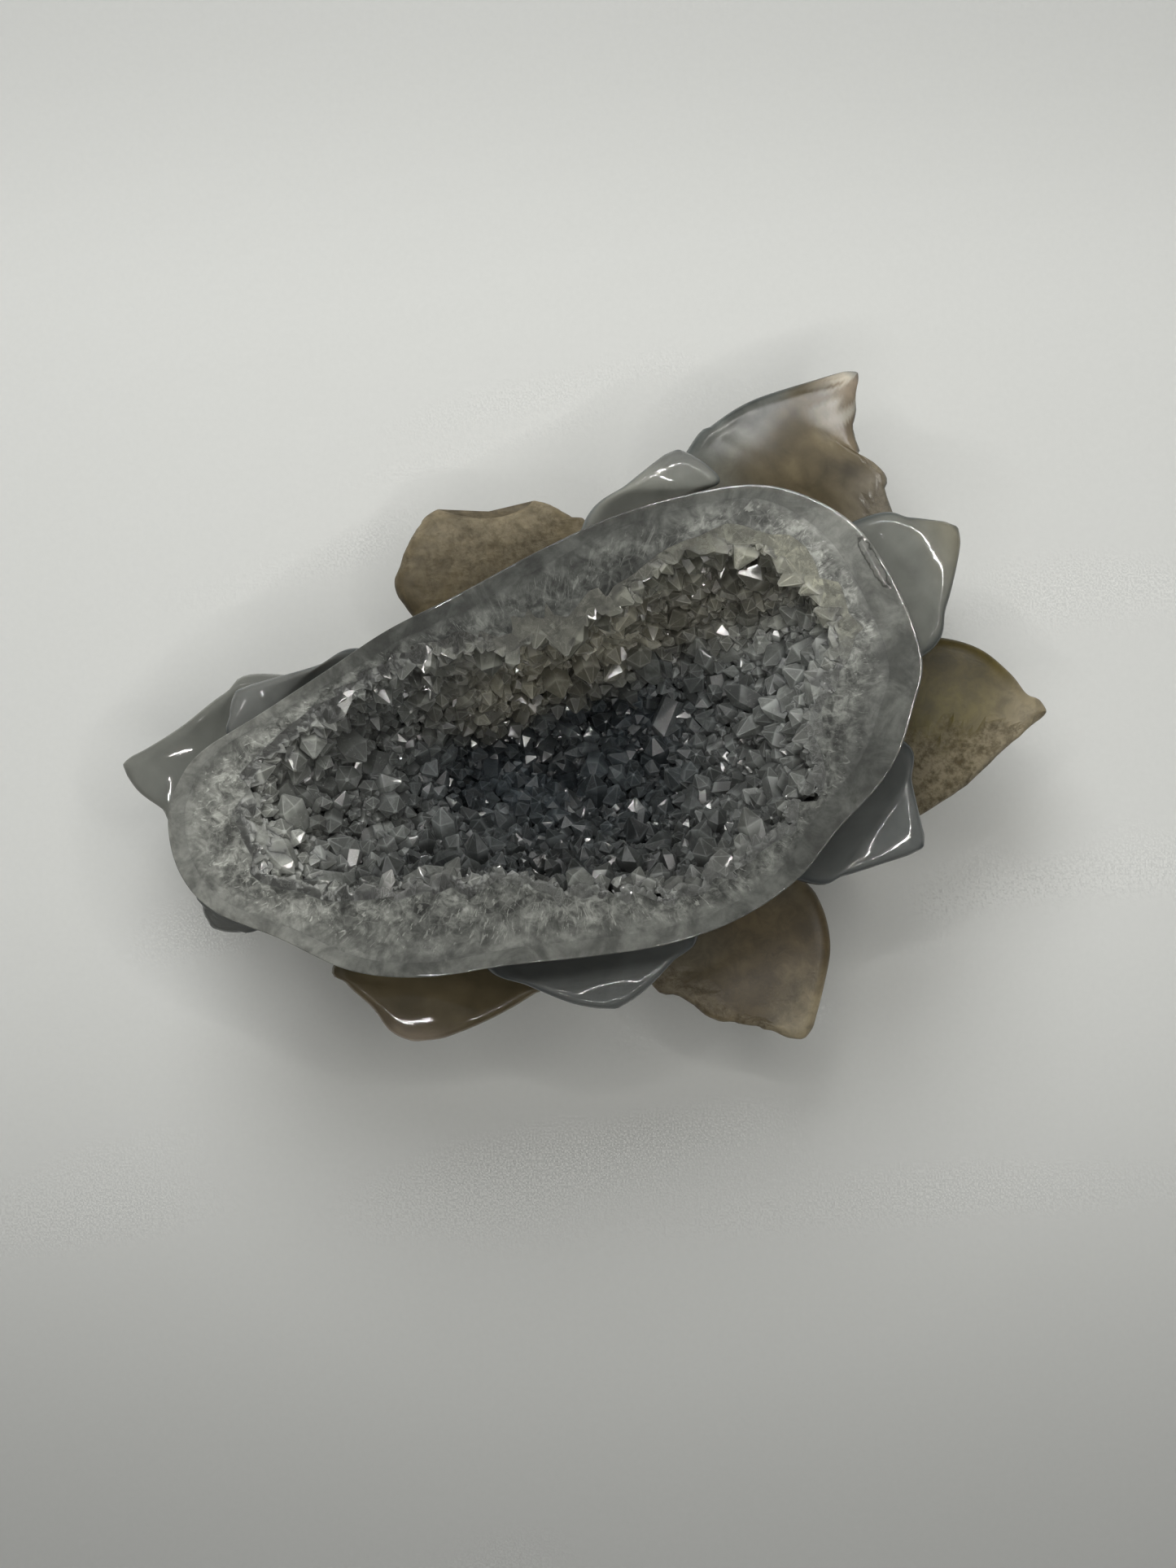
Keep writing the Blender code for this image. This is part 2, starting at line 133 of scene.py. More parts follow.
# Each petal's tier, tip height, edges and notch as in the solids, and its looks: the colours of its root,
# middle and tip, and of its left side where that differs; a glow, as a colour, its middle in u and v, its
# reach in u and v, and its strength; how strong its pale streaks are, how mottled and how dull it is, and
# how much darker its edge is painted, as a reflection of the dark surroundings (a negative value paints it
# lighter, as light through the thin stone); how far its left and right edges are splintered; and its patches
# of rough skin, each as its middle in u and v, its reach in u and v, and its strength.
PETALS = {
    "north_inner": {
        "tier": "inner", "tip_height": 49.0,
        "left": [(0, 30.5), (7, 36.2), (12.5, 40.6), (14.7, 42.1)],
        "right": [(18, 33.5), (22.3, 36.5), (20.6, 39.1), (16.5, 41.9)],
        # Its root is painted pale, to lift the shade that falls on it.
        "colours": ("pale_gray", "clear_gray", "mid_gray"),
    },
    "northeast_outer": {
        "tier": "outer", "tip_height": 31.0,
        "left": [(17.5, 44), (22, 48.5), (29, 52.8), (40, 56.4), (46, 58.2)],
        "right": [
            (52.4, 26), (53.2, 32.5), (53.4, 37.8), (51.2, 41), (47.8, 43), (46.6, 47.5), (47.2, 53),
            (47.8, 57.2),
        ],
        "colours": ("brown", "brown", "pink_brown"), "left_side": "smoky_gray", "streaks": 0.6,
        "glow": ("pale_pink", 0.5, -1.0, 0.15, 0.4, 0.9),
        "mottle": 0.8, "dull": 0.3, "edge": 0.5,
        "ragged": (0.0, 0.9), "skin": [(0.45, -0.95, 0.3, 0.3, 0.5)],
    },
    "east_inner": {
        "tier": "inner", "tip_height": 48.0,
        "left": [(46.5, 31), (54, 30.8), (61, 30)],
        "right": [(56.5, 8), (59.8, 16), (61.8, 24), (62.4, 28.5)],
        "colours": ("mid_gray", "smoky_gray", "warm_gray"), "mottle": 0.3,
    },
    "east_outer": {
        "tier": "outer", "tip_height": 30.0,
        "left": [(54, 11.5), (61, 12), (68, 10), (73.4, 5.8), (76.2, 2.4), (78.2, 1.5), (79.8, 0.3)],
        "right": [(53, -19), (58, -18.6), (63, -16), (70, -9.8), (75.5, -4.9), (77.8, -3.1), (79.8, -1.7)],
        "colours": ("dark_brown", "olive", "beige"),
        "glow": ("moss", 0.6, 0.15, 0.2, 0.4, 0.8), "mottle": 0.4, "dull": 0.6,
        "ragged": (0.0, 0.35), "skin": [(0.62, -0.75, 0.42, 0.75, 1.0)],
    },
    "southeast_inner": {
        "tier": "inner", "tip_height": 48.0,
        "left": [(53, -6), (54.2, -13), (55.6, -19.4), (56.7, -23.1)],
        "right": [(37, -29.8), (43, -28.5), (49.6, -26.4), (55.3, -24.6)],
        "colours": ("blue_gray", "blue_gray", "blue_gray"),
    },
    "south_outer": {
        "tier": "outer", "tip_height": 27.0,
        "left": [(37, -29), (41, -34), (42.6, -41), (41.6, -48), (39.4, -57)],
        "right": [(11, -47.5), (15.5, -50.5), (21.5, -54), (30, -56), (36.8, -58.2)],
        "colours": ("dark_brown", "russet", "beige"), "mottle": 0.6, "dull": 0.65,
        "ragged": (0.0, 0.5), "skin": [(0.72, -0.85, 0.3, 0.3, 0.5)],
    },
    "south_inner": {
        "tier": "inner", "tip_height": 47.0,
        "left": [(19, -38), (14.7, -42.8), (10.4, -47.2), (6.5, -50.3)],
        "right": [(-17, -43.5), (-9.4, -46.8), (-2, -49.7), (4.2, -50.9)],
        "colours": ("blue_gray", "blue_gray", "blue_gray"),
    },
    "southwest_outer": {
        "tier": "outer", "tip_height": 26.0,
        "left": [(-4, -46), (-9, -50), (-16, -54), (-23.5, -57.2), (-27.8, -58.2)],
        "right": [(-43.5, -44), (-41.5, -48), (-37, -52.2), (-34.2, -56), (-31, -58.2)],
        "colours": ("dark_brown", "brown", "pink_brown"), "mottle": 0.45,
    },
    "west_inner": {
        "tier": "inner", "tip_height": 42.0,
        "left": [(-53.5, -37.4), (-57.8, -38.2), (-61.8, -38.1)],
        "right": [(-64, -30), (-64.2, -34), (-63.4, -36.8)],
        "colours": ("blue_gray", "blue_gray", "mid_gray"),
    },
    "west_outer": {
        "tier": "outer", "tip_height": 30.0,
        "left": [(-68, -21), (-73, -17.5), (-77, -14.6), (-79.8, -10.9)],
        "right": [(-55, 5.8), (-62, 2.4), (-69, -3), (-75, -6.8), (-79.8, -9.2)],
        "colours": ("mid_gray", "smoky_gray", "smoky_gray"), "mottle": 0.15,
    },
    "northwest_inner": {
        "tier": "inner", "tip_height": 44.0,
        "left": [(-59, -6), (-59.3, -1.6), (-58.9, 1.7)],
        "right": [(-37.5, 9.6), (-44.5, 6.6), (-52, 4.4), (-57.8, 2.8)],
        "colours": ("blue_gray", "mid_gray", "mid_gray"),
    },
    "north_outer": {
        "tier": "outer", "tip_height": 25.0, "notch": 2.4,
        "left": [(-30, 15.5), (-33, 20), (-32.4, 25.5), (-29.5, 31.5), (-27, 34.6)],
        "right": [(1.5, 31), (-2.5, 33.6), (-7.2, 36.4)],
        "colours": ("brown", "brown", "tan"), "mottle": 0.6, "dull": 0.8,
        "ragged": (0.4, 0.4), "skin": [(0.8, 0.0, 0.4, 1.1, 0.6)],
    },
}

# How finely each surface is made: the rows and columns of its grid, and the points of its curves.
CURVE_STEPS = 24
OUTLINE_POINTS = 1440
MOUTH_POINTS = 720
RIM_COLUMNS = 512
WALL_ROWS = 34
RIM_EDGE_ROWS = 8
FACE_ROWS = 22
BOWL_ROWS = 14
CRUST_BACK_ROWS = 9
LINING_ROWS = 60
PETAL_ROWS = 64
PETAL_COLUMNS = 28

# Random numbers along each side of the noise's lattice.
LATTICE = 24

# A regular hexagon's corners, as turns.
HEXAGON = np.arange(6) * math.pi / 3


def curve_through(points, at, closed=False):
    """Points of a Catmull-Rom curve, at shares of its length.

    Between b and c, with a before them and d after: b + ((c-a)t + (2a-5b+4c-d)t² + (3b-a-3c+d)t³) / 2.
    """
    p = np.asarray(points, float)
    p = np.vstack([p[-1], p, p[:2]]) if closed else np.vstack([2 * p[0] - p[1], p, 2 * p[-1] - p[-2]])
    a, b, c, d = (p[i : len(p) - 3 + i, None] for i in range(4))
    t = np.linspace(0, 1, CURVE_STEPS, endpoint=False)[None, :, None]
    bend = (c - a) * t + (2 * a - 5 * b + 4 * c - d) * t**2 + (3 * b - a - 3 * c + d) * t**3
    dense = np.vstack([(b + bend / 2).reshape(-1, 2), p[-2]])
    along = np.concatenate([[0], np.cumsum(np.hypot(*np.diff(dense, axis=0).T))])
    return np.column_stack([np.interp(at * along[-1], along, dense[:, axis]) for axis in (0, 1)])


def closed_curve(points, count):
    """Points of a closed curve, evenly by length."""
    return curve_through(points, np.arange(count) / count, closed=True)


def directions(plan):
    """The turns of points in the plan, as seen from CENTRE."""
    return np.arctan2(plan[..., 1] - CENTRE[1], plan[..., 0] - CENTRE[0])


def around(angle, angles, values):
    """Values given at some turns, read at any turn."""
    return np.interp(angle, angles, values, period=2 * math.pi)


def radius_at(outline, angle):
    """How far an outline is from CENTRE at a turn."""
    curve = closed_curve(outline, OUTLINE_POINTS)
    return around(angle, directions(curve), np.hypot(*(curve - CENTRE).T))


def ramp(x, start, end):
    """Rises smoothly from 0 at start to 1 at end: 3t² - 2t³."""
    t = np.clip((x - start) / (end - start), 0, 1)
    return t * t * (3 - 2 * t)


def blend(a, b, share):
    """From a, where share is 0, to b, where it is 1."""
    return a + (b - a) * share


def rim_height(x):
    """The polished face's height: level at the broad end, and lower at the narrow one."""
    return RIM_HEIGHT - RIM_DROP * ramp(x, *RIM_FALLS)


def cavity_depth(x):
    """How deep the hollow is below the polished face: shallow at the narrow end."""
    return CAVITY_DEPTH * blend(NARROW_END_SHARE, 1, ramp(x, *HOLLOW_DEEPENS))


def noise(points, cell, seed):
    """Smooth noise from -1 to 1: random numbers on a cubic lattice, blended between by 3t² - 2t³."""
    lattice = np.random.default_rng(seed).uniform(-1, 1, (LATTICE, LATTICE, LATTICE))
    base = np.floor(points / cell).astype(int)
    t = points / cell - base
    t = t * t * (3 - 2 * t)
    total = 0
    for corner in np.ndindex(2, 2, 2):
        i, j, k = np.moveaxis((base + corner) % LATTICE, -1, 0)
        total = total + np.prod(np.where(corner, t, 1 - t), axis=-1) * lattice[i, j, k]
    return total


def noises(points, parts, seed=0):
    """A sum of noises. Each part is a strength, a cell's size in millimetres and a number for the seed."""
    return sum(strength * noise(points, cell, seed + number) for strength, cell, number in parts)


def unit(vectors):
    """The vectors, made one long."""
    return vectors / np.linalg.norm(vectors, axis=-1, keepdims=True)


def mesh_object(name, points, polygons, collection=None):
    """An object from points in millimetres and arrays of polygons, each array with one count of corners."""
    mesh = bpy.data.meshes.new(name)
    corners = np.concatenate([p.ravel() for p in polygons])
    sizes = np.concatenate([np.full(len(p), p.shape[1]) for p in polygons])
    mesh.vertices.add(len(points))
    mesh.vertices.foreach_set("co", (points * MM).astype(np.float32).ravel())
    mesh.loops.add(len(corners))
    mesh.loops.foreach_set("vertex_index", corners.astype(np.int32))
    mesh.polygons.add(len(sizes))
    mesh.polygons.foreach_set("loop_start", (np.cumsum(sizes) - sizes).astype(np.int32))
    mesh.update(calc_edges=True)
    mesh.validate()
    made = bpy.data.objects.new(name, mesh)
    (collection or bpy.context.scene.collection).objects.link(made)
    return made


def ring_faces(rows, columns):
    """Quads between neighbouring rows of a grid whose columns go all the way round."""
    row, column = np.meshgrid(np.arange(rows - 1), np.arange(columns), indexing="ij")
    low = row * columns + column
    low_next = row * columns + (column + 1) % columns
    return np.stack([low, low_next, low_next + columns, low + columns], -1).reshape(-1, 4)


def closed_rings(rings):
    """Points and faces of a closed surface: the rings' quads, and a fan to a middle point at each end."""
    rows, columns, _ = rings.shape
    points = np.vstack([rings.reshape(-1, 3), rings[0].mean(axis=0), rings[-1].mean(axis=0)])
    here, after = np.arange(columns), (np.arange(columns) + 1) % columns
    first, last = rows * columns, rows * columns + 1
    top = (rows - 1) * columns
    start = np.stack([after, here, np.full(columns, first)], -1)
    end = np.stack([here + top, after + top, np.full(columns, last)], -1)
    return points, [ring_faces(rows, columns), start, end]


def set_colour(mesh, name, values):
    """Gives each point a colour."""
    rgba = np.column_stack([values, np.ones(len(values))]).astype(np.float32)
    mesh.attributes.new(name, "FLOAT_COLOR", "POINT").data.foreach_set("color", rgba.ravel())


def set_value(mesh, name, values):
    """Gives each point a number."""
    mesh.attributes.new(name, "FLOAT", "POINT").data.foreach_set("value", np.asarray(values, np.float32))


def read_value(mesh, name):
    """The number that each point was given."""
    values = np.empty(len(mesh.vertices), np.float32)
    mesh.attributes[name].data.foreach_get("value", values)
    return values


def read_points(mesh):
    """A mesh's points, in millimetres."""
    points = np.empty(len(mesh.vertices) * 3, np.float32)
    mesh.vertices.foreach_get("co", points)
    return points.reshape(-1, 3) / MM


# The body.

RIM = closed_curve(RIM_OUTLINE, RIM_COLUMNS)
RIM_ANGLES = directions(RIM)
RIM_RADII = np.hypot(*(RIM - CENTRE).T)
OUTWARDS = np.column_stack([np.cos(RIM_ANGLES), np.sin(RIM_ANGLES)])
BAND = blend(AGATE_BAND, AGATE_BAND_BROAD_END, ramp(RIM[:, 0], *BAND_WIDENS))

# The rim's rounded edge, and where the flat face starts behind it and ends, under the crust.
RIM_EDGE_RADIUS = 0.25
FACE_STEP = 0.3
FACE_END = 8.0

# The wall's swells, and the heights between which they rise and fade.
WALL_SWELLS = ((0.35, 14, 3), (0.12, 5, 4))
SWELLS_RISE = (0, 6)
SWELLS_FADE = (50, 56)

# A flake broken off the rim's edge at the broad end: its middle, direction and half sizes in the plan.
CHIP_PLACE = np.array([46.6, 22.4])
CHIP_ALONG = unit(np.array([-5.9, 10.5]))
CHIP_HALF_LENGTH = 5.0
CHIP_HALF_WIDTH = 0.85
CHIP_DEPTH = 0.35


def chip(plan):
    """How deep the flake's scar is at points of the plan: depth · √(1 - (a/length)² - (b/width)²)."""
    offset = plan - CHIP_PLACE
    a = offset @ CHIP_ALONG / CHIP_HALF_LENGTH
    b = (offset[..., 0] * CHIP_ALONG[1] - offset[..., 1] * CHIP_ALONG[0]) / CHIP_HALF_WIDTH
    return CHIP_DEPTH * np.sqrt(np.clip(1 - a**2 - b**2, 0, 1))


def body_rings():
    """The outside: the rim's outline times a share that grows with height, then a quarter circle into the
    flat face. A point is CENTRE + outwards · (radius · share - inset)."""
    heights, shares = np.transpose(BODY_PROFILE)
    bevel = np.linspace(0, math.pi / 2, RIM_EDGE_ROWS)
    rise = np.concatenate([
        np.linspace(0, RIM_HEIGHT - RIM_EDGE_RADIUS, WALL_ROWS, endpoint=False),
        RIM_HEIGHT - RIM_EDGE_RADIUS * (1 - np.sin(bevel)),
        np.full(FACE_ROWS, RIM_HEIGHT),
    ])
    inset = np.concatenate([
        np.zeros(WALL_ROWS),
        RIM_EDGE_RADIUS * (1 - np.cos(bevel)),
        np.linspace(RIM_EDGE_RADIUS + FACE_STEP, FACE_END, FACE_ROWS),
    ])
    share = np.interp(rise, heights, shares)
    reach = RIM_RADII * share[:, None] - inset[:, None]
    plan = CENTRE + OUTWARDS * reach[..., None]
    z = rise[:, None] * (rim_height(plan[..., 0]) / RIM_HEIGHT)
    rings = np.concatenate([plan, z[..., None]], axis=-1)
    wall = (ramp(rise, *SWELLS_RISE) * (1 - ramp(rise, *SWELLS_FADE)))[:, None]
    rings[..., :2] += OUTWARDS * (noises(rings, WALL_SWELLS) * wall)[..., None]
    rings[..., 2] -= chip(rings[..., :2]) * (rise > RIM_HEIGHT - RIM_EDGE_RADIUS)[:, None]
    return rings


def crust_reach(clearance):
    """How far the crust reaches from CENTRE at the rim's directions."""
    return RIM_RADII - BAND + clearance


def bowl_rings(clearance, turns):
    """The crust's outer side: radius · cos(turn) from CENTRE, depth · sin(turn) under the rim's face."""
    reach = crust_reach(clearance) * np.cos(turns)[:, None]
    plan = CENTRE + OUTWARDS * reach[..., None]
    drop = (CAVITY_DEPTH + CRUST_FLOOR + clearance) * np.sin(turns)[:, None]
    return np.concatenate([plan, (rim_height(plan[..., 0]) - drop)[..., None]], axis=-1)


# The petals.

# Each petal's own number for its noise.
FIRST_PETAL_SEED = 100
PETAL_SEED_STEP = 10

# How a petal crowds its rows towards the tip, thins towards it, is thicker along its middle than at its
# sides, and places its cup's crest.
ROW_CROWDING = 1.7
THINNING = 0.7
MIDDLE_THICKER = 1.12
CUP_CREST = 0.8

# How far in from its outline a petal is rounded, how its tip is rounded in the plan, and how much of that a
# notched petal keeps.
PETAL_EDGE = 3.0
TIP_RADIUS = 1.7
NOTCHED_TIP_SHARE = 0.12

# Added to the turns' sines, so that the edges themselves count as the upper side.
TINY = 1e-9

# A petal's waves, and where along it they start.
PETAL_WAVES = ((0.5, 11, 0),)
WAVES_START = (0.2, 0.5)

# The crumbs of a petal's rough skin, the raggedness of its border and how wide that is.
SKIN_CRUMBS = ((0.28, 1.6, 1), (0.16, 0.8, 2))
SKIN_RAGGED = ((0.45, 3.5, 3), (0.25, 1.3, 4))
SKIN_BORDER = (-0.05, 0.35)

# Splinters: how steeply they fade in from the edge, where along the petal they start, how their noise is
# stretched along u and v, and the noise.
SPLINTER_FADE = 6
SPLINTERS_START = (0.3, 0.6)
SPLINTER_STRETCH = (40, 9)
SPLINTER_TEETH = ((1, 3.2, 9), (0.7, 1.1, 9))


def petal_root(edge_start, side, height):
    """Where a petal's edge starts inside the body, under the first point that the outline shows."""
    angle = directions(np.array(edge_start)) + {"left": ROOT_SPREAD, "right": -ROOT_SPREAD}[side]
    heights, shares = np.transpose(BODY_PROFILE)
    wall = radius_at(RIM_OUTLINE, angle) * np.interp(height, heights, shares)
    return CENTRE + (wall - ROOT_EMBED) * np.array([math.cos(angle), math.sin(angle)])


def petal_surface(petal, seed):
    """The petal's rings of points, u and v at each, and how much rough skin it has there.

    u goes from the root to the tip, closer together towards the tip. v is -cos(turn), from -1 on the right
    edge to 1 on the left over the top, and back underneath. The plan lies between the two edges. The height
    is the middle line's, 1 - (1-u)^curl, plus a cup of v², plus or minus half the thickness, which falls
    to nothing within PETAL_EDGE of the outline as a circle's arc does.
    """
    tier = TIERS[petal["tier"]]
    root = tier["root_height"]
    line = 1 - (1 - np.linspace(0, 1, PETAL_ROWS)) ** ROW_CROWDING
    left, right = (
        curve_through([petal_root(petal[side][0], side, root), *petal[side]], line)
        for side in ("left", "right")
    )
    turn = np.linspace(0, 2 * math.pi, 2 * PETAL_COLUMNS, endpoint=False)
    u, v = np.meshgrid(line, -np.cos(turn), indexing="ij")
    side = np.sign(np.sin(turn) + TINY)
    middle, across = (left + right) / 2, (left - right) / 2
    length = np.hypot(*np.diff(middle, axis=0).T).sum()
    width = np.hypot(*(left - right).T)[:, None] / 2
    to_end = (1 - u) * length
    tip = np.sqrt(1 - (1 - np.clip(to_end / TIP_RADIUS, 0, 1)) ** 2)
    v_plan = v * blend(1, tip, NOTCHED_TIP_SHARE if "notch" in petal else 1)
    splinter = splinters(petal, u, v, seed)
    plan = middle[:, None] + across[:, None] * (v_plan * (1 - splinter / width))[..., None]
    from_edge = np.minimum((1 - np.abs(v)) * width * tip, to_end)
    round_off = np.sqrt(1 - (1 - np.clip(from_edge / PETAL_EDGE, 0, 1)) ** 2)
    half = blend(tier["root_half"], tier["tip_half"], u**THINNING) * blend(1, MIDDLE_THICKER, 1 - v**2)
    cup = tier["cup"] * np.sin(math.pi * u**CUP_CREST) * v**2
    height = root + (petal["tip_height"] - tier["tip_half"] - root) * (1 - (1 - u) ** PETAL_CURL) + cup
    plan = plan + unit(CENTRE - plan) * (petal.get("notch", 0) * u**3 * (1 - v**2))[..., None]
    rings = np.concatenate([plan, height[..., None]], axis=-1)
    wave = noises(rings, PETAL_WAVES, seed) * ramp(u, *WAVES_START)
    skin = skin_share(petal, u, v, rings, seed)
    rings[..., 2] += wave + side * round_off * (half + skin * noises(rings, SKIN_CRUMBS, seed))
    return rings, u, v, skin


def splinters(petal, u, v, seed):
    """How far a broken edge is set back, in millimetres: noise along the edge, most at the edge itself."""
    left, right = petal.get("ragged", (0, 0))
    amount = np.where(v > 0, left, right) * np.abs(v) ** SPLINTER_FADE * ramp(u, *SPLINTERS_START)
    along = np.stack([u * SPLINTER_STRETCH[0], np.sign(v) * SPLINTER_STRETCH[1], 0 * u], axis=-1)
    return amount * (1 + noises(along, SPLINTER_TEETH, seed))


def skin_share(petal, u, v, points, seed):
    """How much of the stone's natural skin is left, 0 to 1: patches with ragged borders."""
    total = np.zeros_like(u)
    ragged = noises(points, SKIN_RAGGED, seed)
    for u0, v0, reach_u, reach_v, strength in petal.get("skin", ()):
        inside = 1 - np.sqrt(((u - u0) / reach_u) ** 2 + ((v - v0) / reach_v) ** 2)
        total = np.maximum(total, strength * ramp(inside + ragged, *SKIN_BORDER))
    return total


# The petals' colours: how they drift, and where along a petal the middle's and the tip's colour come in.
COLOUR_DRIFT = ((0.12, 9, 5),)
MIDDLE_COMES = (0.3, 0.62)
TIP_COMES = (0.68, 1.0)

# The left side's own colour: how it drifts, where across the petal it comes in, and how it turns away from
# the tip.
SIDE_DRIFT = ((0.25, 7, 6),)
SIDE_COMES = (0.3, 0.8)
SIDE_LEAVES = (0.75, 1)
SIDE_LEAVES_BY = 0.9

# Pale streaks: how their noise is stretched along u and v and leans, the noise and its border, and where
# along the petal they start and how that leans.
STREAK_STRETCH = (34, 3)
STREAK_LEAN = 5
STREAKS = ((1, 2.2, 12), (0.6, 1.0, 13))
STREAK_BORDER = (-0.25, 0.45)
STREAKS_START = (0.68, 0.95)
STREAKS_START_LEAN = 0.12

# Mottling: its usual strength and its noise. A petal's edge is painted: darker, as a reflection of the dark
# surroundings, in the inner tier, and lighter, as light through the thin stone, in the outer. Where across
# and along it starts, how much darker it is in each tier, and how much of that goes to red, green and blue.
USUAL_MOTTLE = 0.15
MOTTLES = ((0.5, 4.5, 7), (0.35, 1.8, 8))
EDGE_ACROSS = (0.86, 1)
EDGE_ALONG = (0.96, 1)
PAINTED_EDGE_SHADE = {"outer": -0.15, "inner": 0.55}
PAINTED_EDGE_TINT = np.array([1.0, 0.92, 0.84])


def petal_colour(petal, u, v, points, seed):
    """The stone's colour: from root to middle to tip, with drifts and mottling by noise, a glow that fades
    as exp(-r²) and pale streaks by noise that is stretched across the petal, and its edge painted darker as a
    reflection of the dark surroundings, and on most outer petals lighter, as light through the thin stone."""
    root, middle, tip = (np.array(STONE[name]) for name in petal["colours"])
    drift = u + noises(points, COLOUR_DRIFT, seed)
    colour = blend(root, middle, ramp(drift, *MIDDLE_COMES)[..., None])
    colour = blend(colour, tip, ramp(drift, *TIP_COMES)[..., None])
    if "left_side" in petal:
        place = v + noises(points, SIDE_DRIFT, seed) - SIDE_LEAVES_BY * ramp(u, *SIDE_LEAVES)
        colour = blend(colour, np.array(STONE[petal["left_side"]]), ramp(place, *SIDE_COMES)[..., None])
    if "glow" in petal:
        glow, u0, v0, reach_u, reach_v, strength = petal["glow"]
        share = strength * np.exp(-(((u - u0) / reach_u) ** 2) - ((v - v0) / reach_v) ** 2)
        colour = blend(colour, np.array(STONE[glow]), share[..., None])
    if "streaks" in petal:
        across = np.stack([u * STREAK_STRETCH[0] + STREAK_LEAN * v, v * STREAK_STRETCH[1], 0 * u], axis=-1)
        starts = ramp(u - STREAKS_START_LEAN * v, *STREAKS_START)
        share = petal["streaks"] * ramp(noises(across, STREAKS, seed), *STREAK_BORDER) * starts
        colour = blend(colour, np.array(STONE["pale"]), share[..., None])
    mottle = petal.get("mottle", USUAL_MOTTLE) * noises(points, MOTTLES, seed)
    # Painted reflection and light: the edge is darker where its shade is positive, lighter where negative.
    painted_edge = np.maximum(ramp(np.abs(v), *EDGE_ACROSS), ramp(u, *EDGE_ALONG))
    shade = petal.get("edge", PAINTED_EDGE_SHADE[petal["tier"]])
    return colour * (1 + mottle)[..., None] * (1 - shade * PAINTED_EDGE_TINT * painted_edge[..., None])


# The stone's colours away from the petals.

# The polished face: its darkest and lightest gray, its clouds, and what makes it lighter: a patch at the
# north-east, and the sides to the west, south and east, each with a strength and the millimetres between
# which it grows.
FACE_DARK = np.array([0.081, 0.084, 0.076])
FACE_LIGHT = np.array([0.24, 0.245, 0.222])
FACE_CLOUDS = ((0.2, 9, 71),)
LIGHT_PATCH = (42, 27)
LIGHT_PATCH_REACH = 19
LIGHT_WEST = (30, 60)
LIGHT_SOUTH = (20, 40)
LIGHT_SOUTH_STRENGTH = 0.48
LIGHT_EAST = (30, 50)
LIGHT_EAST_STRENGTH = 0.2

# The wall: how its colours drift, where brown turns to gray and the rim's own gray starts, its mottling, and
# how dark the rim's outside is beside its face.
WALL_DRIFT = ((7, 16, 31), (2.5, 5, 32))
WALL_GRAY_COMES = (12, 34)
WALL_MOTTLE = ((0.12, 6, 33),)
RIM_GRAY_COMES = (44, 50)
RIM_OUTSIDE_SHADE = 0.82

# The painted highlight under the rim's edge, a thin light line: how far below it grows and fades, and how
# light it is.
RIM_HIGHLIGHT_GROWS = (0.05, 0.35)
RIM_HIGHLIGHT_FADES = (0.6, 1.2)
RIM_HIGHLIGHT = 0.8

# The natural skin near the base: its noise, border, strength and the heights between which it fades; the
# same for dullness; and the depths between which the rim's polish ends.
BASE_SKIN = ((1, 9, 41), (0.5, 3, 42))
BASE_SKIN_BORDER = (0.15, 0.6)
BASE_SKIN_STRENGTH = 0.8
BASE_SKIN_FADES = (16, 30)
BASE_DULLNESS = 0.5
BASE_DULLNESS_FADES = (10, 30)
RIM_POLISH = (-3, -0.5)


def face_tone(points):
    """The gray of the polished face: darker in the middle, lighter at the narrow end and the north-east. The
    patch fades as exp(-r²)."""
    x, y = points[..., 0], points[..., 1]
    patch = np.exp(-((x - LIGHT_PATCH[0]) ** 2 + (y - LIGHT_PATCH[1]) ** 2) / LIGHT_PATCH_REACH**2)
    light = ramp(-x, *LIGHT_WEST) + patch + LIGHT_SOUTH_STRENGTH * ramp(-y, *LIGHT_SOUTH)
    light = light + LIGHT_EAST_STRENGTH * ramp(x, *LIGHT_EAST) + noises(points, FACE_CLOUDS)
    return blend(FACE_DARK, FACE_LIGHT, np.clip(light, 0, 1)[..., None])


def body_colour(points):
    """The wall outside the petals: blue-gray near the rim, brown towards the base, with drifting borders, and
    a painted highlight in a thin line just under the rim's edge.
    """
    drift = points[..., 2] + noises(points, WALL_DRIFT)
    grayer = ramp(drift, *WALL_GRAY_COMES)[..., None]
    colour = blend(np.array(STONE["brown"]), np.array(STONE["blue_gray"]), grayer)
    colour = colour * (1 + noises(points, WALL_MOTTLE))[..., None]
    at_rim = ramp(points[..., 2], *RIM_GRAY_COMES)[..., None]
    colour = blend(colour, RIM_OUTSIDE_SHADE * face_tone(points), at_rim)
    # Painted highlight: a thin light line just under the rim's edge, but not on the flake's scar.
    below = rim_height(points[..., 0]) - points[..., 2]
    line = ramp(below, *RIM_HIGHLIGHT_GROWS) * (1 - ramp(below, *RIM_HIGHLIGHT_FADES))
    return colour * (1 + RIM_HIGHLIGHT * line * (chip(points[..., :2]) == 0))[..., None]


# The agate.

# The space that is cut for the crust: how far round its bowl goes, in degrees, and how high above the face.
CUT_TURN = 80
CUT_ABOVE = 6

# The least angles, in degrees, that stay sharp.
AGATE_CREASE = 48
CRUST_CREASE = 50

# The joins: how many rings of points beside them are blended, and how many times.
JOIN_RINGS = 6
JOIN_ROUNDS = 10
BLENDED = ("skin", "dull", "rim")

# A point that keeps more than this share of what it was given came from one surface alone.
WHOLLY_KNOWN = 0.99

# How near a point is to the polished face's height to be one of its own.
FACE_TOLERANCE = 0.02


def add_tool(name, rings, collection=None):
    """A closed surface that is joined to another, or cut out of it, and isn't shown itself."""
    tool = mesh_object(name, *closed_rings(rings), collection)
    tool.hide_render = True
    return tool


